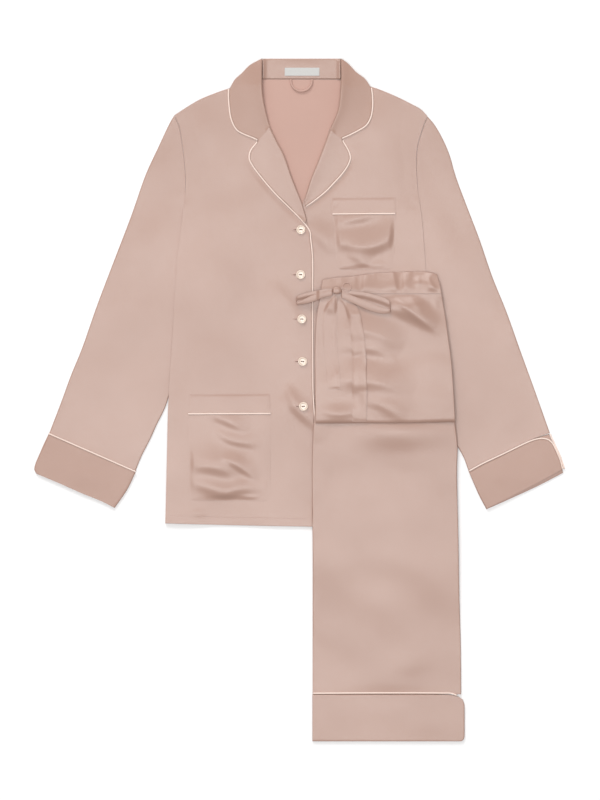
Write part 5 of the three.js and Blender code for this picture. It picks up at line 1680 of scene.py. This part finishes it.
@dataclass
class Drawstring:
    """The flat tie of the trousers' own satin: its knot, two loops and two tails."""

    knot_x: float = 55.5
    knot_y: float = 163.5
    knot_wide: float = 6.2
    knot_deep: float = 5.8
    knot_high: float = 2.7
    lift: float = 3.0
    eyelet: tuple[float, float, float] = (70.3, 168.6, 6.6)
    bow_right: Sequence[tuple[float, ...]] = (
        (49, 157, 166.4, 156, 164.6, 0.9), (35, 153.6, 165, 152.8, 161.6, 1.7), (20, 149.4, 162.4, 147, 157, 2.4),
        (8, 147, 159.6, 143.8, 151.4, 2.8), (-4, 145.5, 155.6, 142.4, 145.8, 2.6))
    bow_left: Sequence[tuple[float, ...]] = (
        (62, 156, 164.6, 152.6, 162.4, 0.9), (76, 151, 162.6, 146, 157, 1.9), (92, 147, 161.4, 138.6, 150.4, 2.7),
        (110, 141, 157.6, 131.6, 143.4, 3.1), (126, 135, 152.6, 128.4, 137, 3.1), (134, 132.4, 148, 130, 136, 2.7))
    tail_right: Sequence[tuple[float, float, float]] = (
        (16, 41.5, 61.6), (60, 38, 58), (97, 33.6, 55.5), (127, 33.6, 56), (143, 39.6, 56.6), (150, 45, 56.2),
        (156.4, 49.6, 55.8))
    tail_left: Sequence[tuple[float, float, float]] = (
        (-32.6, 78.4, 99.8), (19, 78, 100), (60, 78, 98.9), (99, 75.4, 95.9), (139, 66, 85.6), (150, 58.8, 73),
        (156, 56.4, 63))

    def build(self) -> None:
        """Lays the tails, then the loops over them, then the knot."""
        self.tail("left", self.tail_left, (
            Fold(((100, -50), (100.5, 50), (96, 99), (86, 139), (66, 158)), 3.2, 10, 3), Fold(((62, 136), (78, 128), (98, 120)), 2.4, 12, 8),
            Fold(((80, 56), (79, 26), (80, -4)), 0.6, 2.5, 2.5), Fold(((60, 152), (72, 136), (80, 124)), 0.8, 4, 3)))
        self.tail("right", self.tail_right, (
            Fold(((36.5, 134), (36, 80), (42, 20)), 0.7, 2.2, 2.6), Fold(((26, 148), (43, 140), (60, 132)), 2.6, 12, 9),
            Fold(((52, 122), (52.6, 98), (52, 70)), 0.8, 3, 2.2), Fold(((46, 70), (50, 50), (52, 22)), 0.4, 4, 3)))
        self.loop("right", self.bow_right)
        self.loop("left", self.bow_left)
        self.knot()
        x, y, wide = self.eyelet
        angle = np.linspace(0, 2 * math.pi, 41)
        plan = np.column_stack([x + wide * np.cos(angle), y + wide * np.sin(angle)])
        under = GROUND.under(plan[None], 1)[0]
        ring = np.column_stack([plan, softened(under[None], 2)[0] + 0.35])
        trim(cord("eyelet_stitching", ring, 0.5, 10), Finish.THREAD)

    def tail(self, hand: str, rows: Sequence[tuple[float, float, float]], relief: Relief) -> None:
        """Lays one hanging end of the tie.

        Args:
            hand: The side that it comes from.
            rows: Height on the plan, west edge and east edge, from the free end up.
            relief: Its creases.
        """
        west = smooth_line([(row[1], row[0]) for row in rows])
        east = smooth_line([(row[2], row[0]) for row in rows])
        sides = Sides(np.linspace(west[0], east[0], 7), np.linspace(west[-1], east[-1], 5), west, east)
        Cloth(f"tie_{hand}_tail_cloth", f"tie_tail_{hand}", sides, Finish.SATIN,
              (20.5, rows[-1][0] - rows[0][0] + 4), ("seat_cloth",), relief, ply=0.4, cell=1.5, calm=14,
              edge=0.1, hugging=True, thin=0.16, melt=4.5, close=0.15, sewn="e" if hand == "left" else "").lay()

    def loop(self, hand: str, rows: Sequence[tuple[float, ...]]) -> None:
        """Lays one loop of the bow: out along its lower strand, round and back along the upper one.

        Args:
            hand: The side that it lies on.
            rows: Place along X, the lower strand's two edges, the upper strand's two edges and the opening.
        """
        table = smooth_line(rows, 8)
        out = table
        under = GROUND.under(np.stack([np.column_stack([out[:, 0], (out[:, 1] + out[:, 2]) / 2]),
                                       np.column_stack([out[:, 0], out[:, 1]]),
                                       np.column_stack([out[:, 0], out[:, 2]])]), 2).max(axis=0)
        for _ in range(30):
            under = np.maximum(under, np.convolve(np.pad(under, 1, mode="edge"), (0.25, 0.5, 0.25), mode="valid"))
        base = under + LAYER_GAP + TIE_PLY / 2
        way = np.linspace(0, 1, len(base))
        base = np.maximum(base, base[0] + way * (base[-1] + self.lift * (1 if hand == "right" else 0) - base[0]))
        away = -1 if hand == "right" else 1
        shares = np.array([0, 0.03, 0.1, 0.22, 0.36, 0.5, 0.64, 0.78, 0.9, 0.97, 1])
        strips = []
        for k in range(len(out)):
            y = out[k, 1] + shares * (out[k, 2] - out[k, 1])
            curl = np.clip((shares - 0.3) / 0.36, 0, 1)
            z = base[k] + 0.85 * out[k, 5] * curl * curl * (3 - 2 * curl)
            strips.append(np.column_stack([np.full(11, out[k, 0]), y, z]))
        tip, height = out[-1], out[-1, 5]
        for angle in np.linspace(-0.4 * math.pi, 0.4 * math.pi, 7):
            share = (math.sin(angle) + 1) / 2
            low = tip[1] + share * (tip[3] - tip[1])
            high = tip[2] + share * (tip[4] - tip[2])
            y = low + shares * (high - low)
            x = tip[0] + away * height / 2 * math.cos(angle)
            strips.append(np.column_stack([np.full(11, x), y, base[-1] + height * (share * (0.75 + 0.35 * shares)
                                                                                  + (1 - share) * 0.62 * shares)]))
        for k in range(len(out) - 1, -1, -1):
            y = out[k, 3] + shares * (out[k, 4] - out[k, 3])
            z = base[k] + out[k, 5] * (0.65 + 0.35 * shares) + 0.5 * np.sin(math.pi * shares)
            strips.append(np.column_stack([np.full(11, out[k, 0]), y, z]))
        centre = np.array(strips)
        made = strip(f"tie_{hand}_loop_cloth", centre, TIE_PLY)
        GROUND.cover(centre + np.array([0, 0, TIE_PLY / 2]))
        dress(made, Finish.SATIN)
        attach(made, BODY)
        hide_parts(f"tie_loop_{hand}")
        LOG.info("tie %s loop laid", hand)

    def knot(self) -> None:
        """Ties the knot, a turn of the tie drawn tight over the others."""
        rows, turns = 22, 40
        plan = np.array([[(self.knot_x + i, self.knot_y + j) for i in (-3, 0, 3) for j in (-3, 0, 3)]])
        base = float(frame_low("tie_knot"))
        centre = base + self.knot_high
        points, faces = [], []
        for j in range(1, rows):
            polar = math.pi * j / rows
            for i in range(turns):
                angle = 2 * math.pi * i / turns
                nx, ny, nz = math.sin(polar) * math.cos(angle), math.cos(polar), math.sin(polar) * math.sin(angle)
                crease = 1 + 0.05 * math.sin(5 * angle + 0.8) * math.sin(polar) + 0.04 * math.sin(9 * angle)
                power = 0.8
                flat = [math.copysign(abs(n) ** power, n) for n in (nx, ny, nz)]
                points.append((self.knot_x + self.knot_wide * flat[0] * crease * 0.96,
                               self.knot_y + self.knot_deep * flat[1] * 0.97,
                               centre + self.knot_high * flat[2] * crease * 0.93))
        top, bottom = len(points), len(points) + 1
        points += [(self.knot_x, self.knot_y + self.knot_deep * 0.94, centre),
                   (self.knot_x, self.knot_y - self.knot_deep * 0.94, centre)]
        for i in range(turns):
            n = (i + 1) % turns
            faces.append((top, i, n))
            for j in range(rows - 2):
                faces.append((j * turns + i, (j + 1) * turns + i, (j + 1) * turns + n, j * turns + n))
            faces.append(((rows - 2) * turns + i, bottom, (rows - 2) * turns + n))
        made = mesh_object("tie_knot_cloth", points, faces)
        bmesh_outward(made)
        trim(made, Finish.SATIN, "tie_knot")


def frame_low(node: str) -> float:
    """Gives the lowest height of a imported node, in millimetres."""
    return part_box(node)[0].z / MM


@dataclass
class Studio:
    """A pale floor, soft light from beyond the collar and the camera straight above."""

    photo_centre: tuple[float, float] = (0.000375, -0.000225)
    photo_tall: float = 1.2
    camera_high: float = 5.0
    film: float = 36.0
    lamps: Sequence[tuple[str, tuple[float, float, float], float, float, float]] = (
        ("soft_box", (-0.35, -0.15, 6.6), 3.5, 3.7, 245.0), ("key", (-2.4, 7.6, 5.6), 3.2, 3.2, 400.0))
    sky: float = 0.4

    def build(self) -> None:
        """Puts up the floor, the light and the camera."""
        floor = mesh_object("floor", np.array([(-6000, -6000, -0.3), (6000, -6000, -0.3), (6000, 6000, -0.3),
                                               (-6000, 6000, -0.3)]), [(0, 1, 2, 3)])
        paint = bpy.data.materials.new("studio_floor")
        paint.use_nodes = True
        shader = next(n for n in paint.node_tree.nodes if n.type == "BSDF_PRINCIPLED")
        shader.inputs["Base Color"].default_value = (0.94, 0.94, 0.94, 1)
        shader.inputs["Roughness"].default_value = 0.9
        shader.inputs["Specular IOR Level"].default_value = 0.1
        floor.data.materials.append(paint)
        world = bpy.data.worlds.new("studio")
        bpy.context.scene.world = world
        world.use_nodes = True
        back = next(n for n in world.node_tree.nodes if n.type == "BACKGROUND")
        back.inputs[0].default_value = (1, 1, 1, 1)
        back.inputs[1].default_value = self.sky
        for name, place, wide, deep, power in self.lamps:
            lamp = bpy.data.lights.new(name, "AREA")
            lamp.shape, lamp.energy, lamp.size, lamp.size_y = "RECTANGLE", power, wide, deep
            made = bpy.data.objects.new(name, lamp)
            made.location = place
            made.rotation_euler = (-made.location).to_track_quat("-Z", "Y").to_euler()
            bpy.context.scene.collection.objects.link(made)
        film = bpy.data.cameras.new("camera")
        film.lens = self.film * self.camera_high / self.photo_tall
        film.sensor_width = self.film
        film.clip_end = 50
        camera = bpy.data.objects.new("camera", film)
        camera.location = (*self.photo_centre, self.camera_high)
        bpy.context.scene.collection.objects.link(camera)
        bpy.context.scene.camera = camera
        bpy.context.scene.view_settings.view_transform = "Standard"


CHEST_POCKET = Pocket(
    "chest_pocket", "left_front_cloth", 302.8, 46.6, 144.4, 278.5,
    ((62, 195.5), (56.5, 197.5), (54, 204), (52, 240), (48.4, 276.9)),
    ((132, 195.5), (138.5, 197.5), (141, 204), (142, 240), (143.6, 276.9)),
    (Fold(((46, 264), (83, 272), (126, 280)), 3.0, 16, 8),
     Fold(((30, 248), (56, 239), (84, 232), (108, 231), (128, 239), (144, 255), (156, 280)), 5.0, 24, 11),
     Fold(((68, 220), (86, 213), (106, 201)), 2.6, 16, 8),
     Fold(((56, 202), (88, 198), (112, 199), (138, 206)), 0.9, 8, 3.5)),
    (Fold(((58, 300), (52, 290), (47, 284)), -0.6, 3, 3),), (97, 86), (102, 28))

HIP_POCKET = Pocket(
    "hip_pocket", "right_front_cloth", 8.6, -166.0, -44.0, -21.0,
    ((-160, -151), (-164, -148.5), (-166, -142), (-167, -90), (-168, -22.7)),
    ((-52, -151.5), (-47, -149), (-45, -142), (-44, -90), (-43, -22.7)),
    (Fold(((-140, -18), (-110, -31), (-74, -48)), 3.0, 16, 7),
     Fold(((-130, -40), (-104, -59), (-56, -67)), 2.6, 14, 7),
     Fold(((-118, -83), (-94, -97), (-60, -121)), 3.4, 16, 6),
     Fold(((-174, -99), (-134, -99), (-86, -112)), 4.4, 26, 11),
     Fold(((-176, -117), (-139, -130), (-113, -138), (-90, -133), (-44, -130)), 3.9, 14, 10),
     Fold(((-96, -146), (-80, -147), (-60, -146)), 0.8, 4, 3)),
    (Fold(((-150, 0), (-100, -2), (-60, 0)), 0.5, 8, 8),), (126, 132), (128, 32))


def main() -> None:
    """Builds the set from the lowest piece up."""
    logging.basicConfig(level=logging.INFO, format="%(name)s: %(message)s", stream=sys.stdout)
    make_materials()
    body, collar = JacketBody(), Collar()
    collar.back()
    body.build()
    Sleeve().build(body)
    collar.build(body)
    CHEST_POCKET.build()
    HIP_POCKET.build()
    Closure().build()
    Trousers().build()
    Drawstring().build()
    Studio().build()


if __name__ == "__main__":
    main()
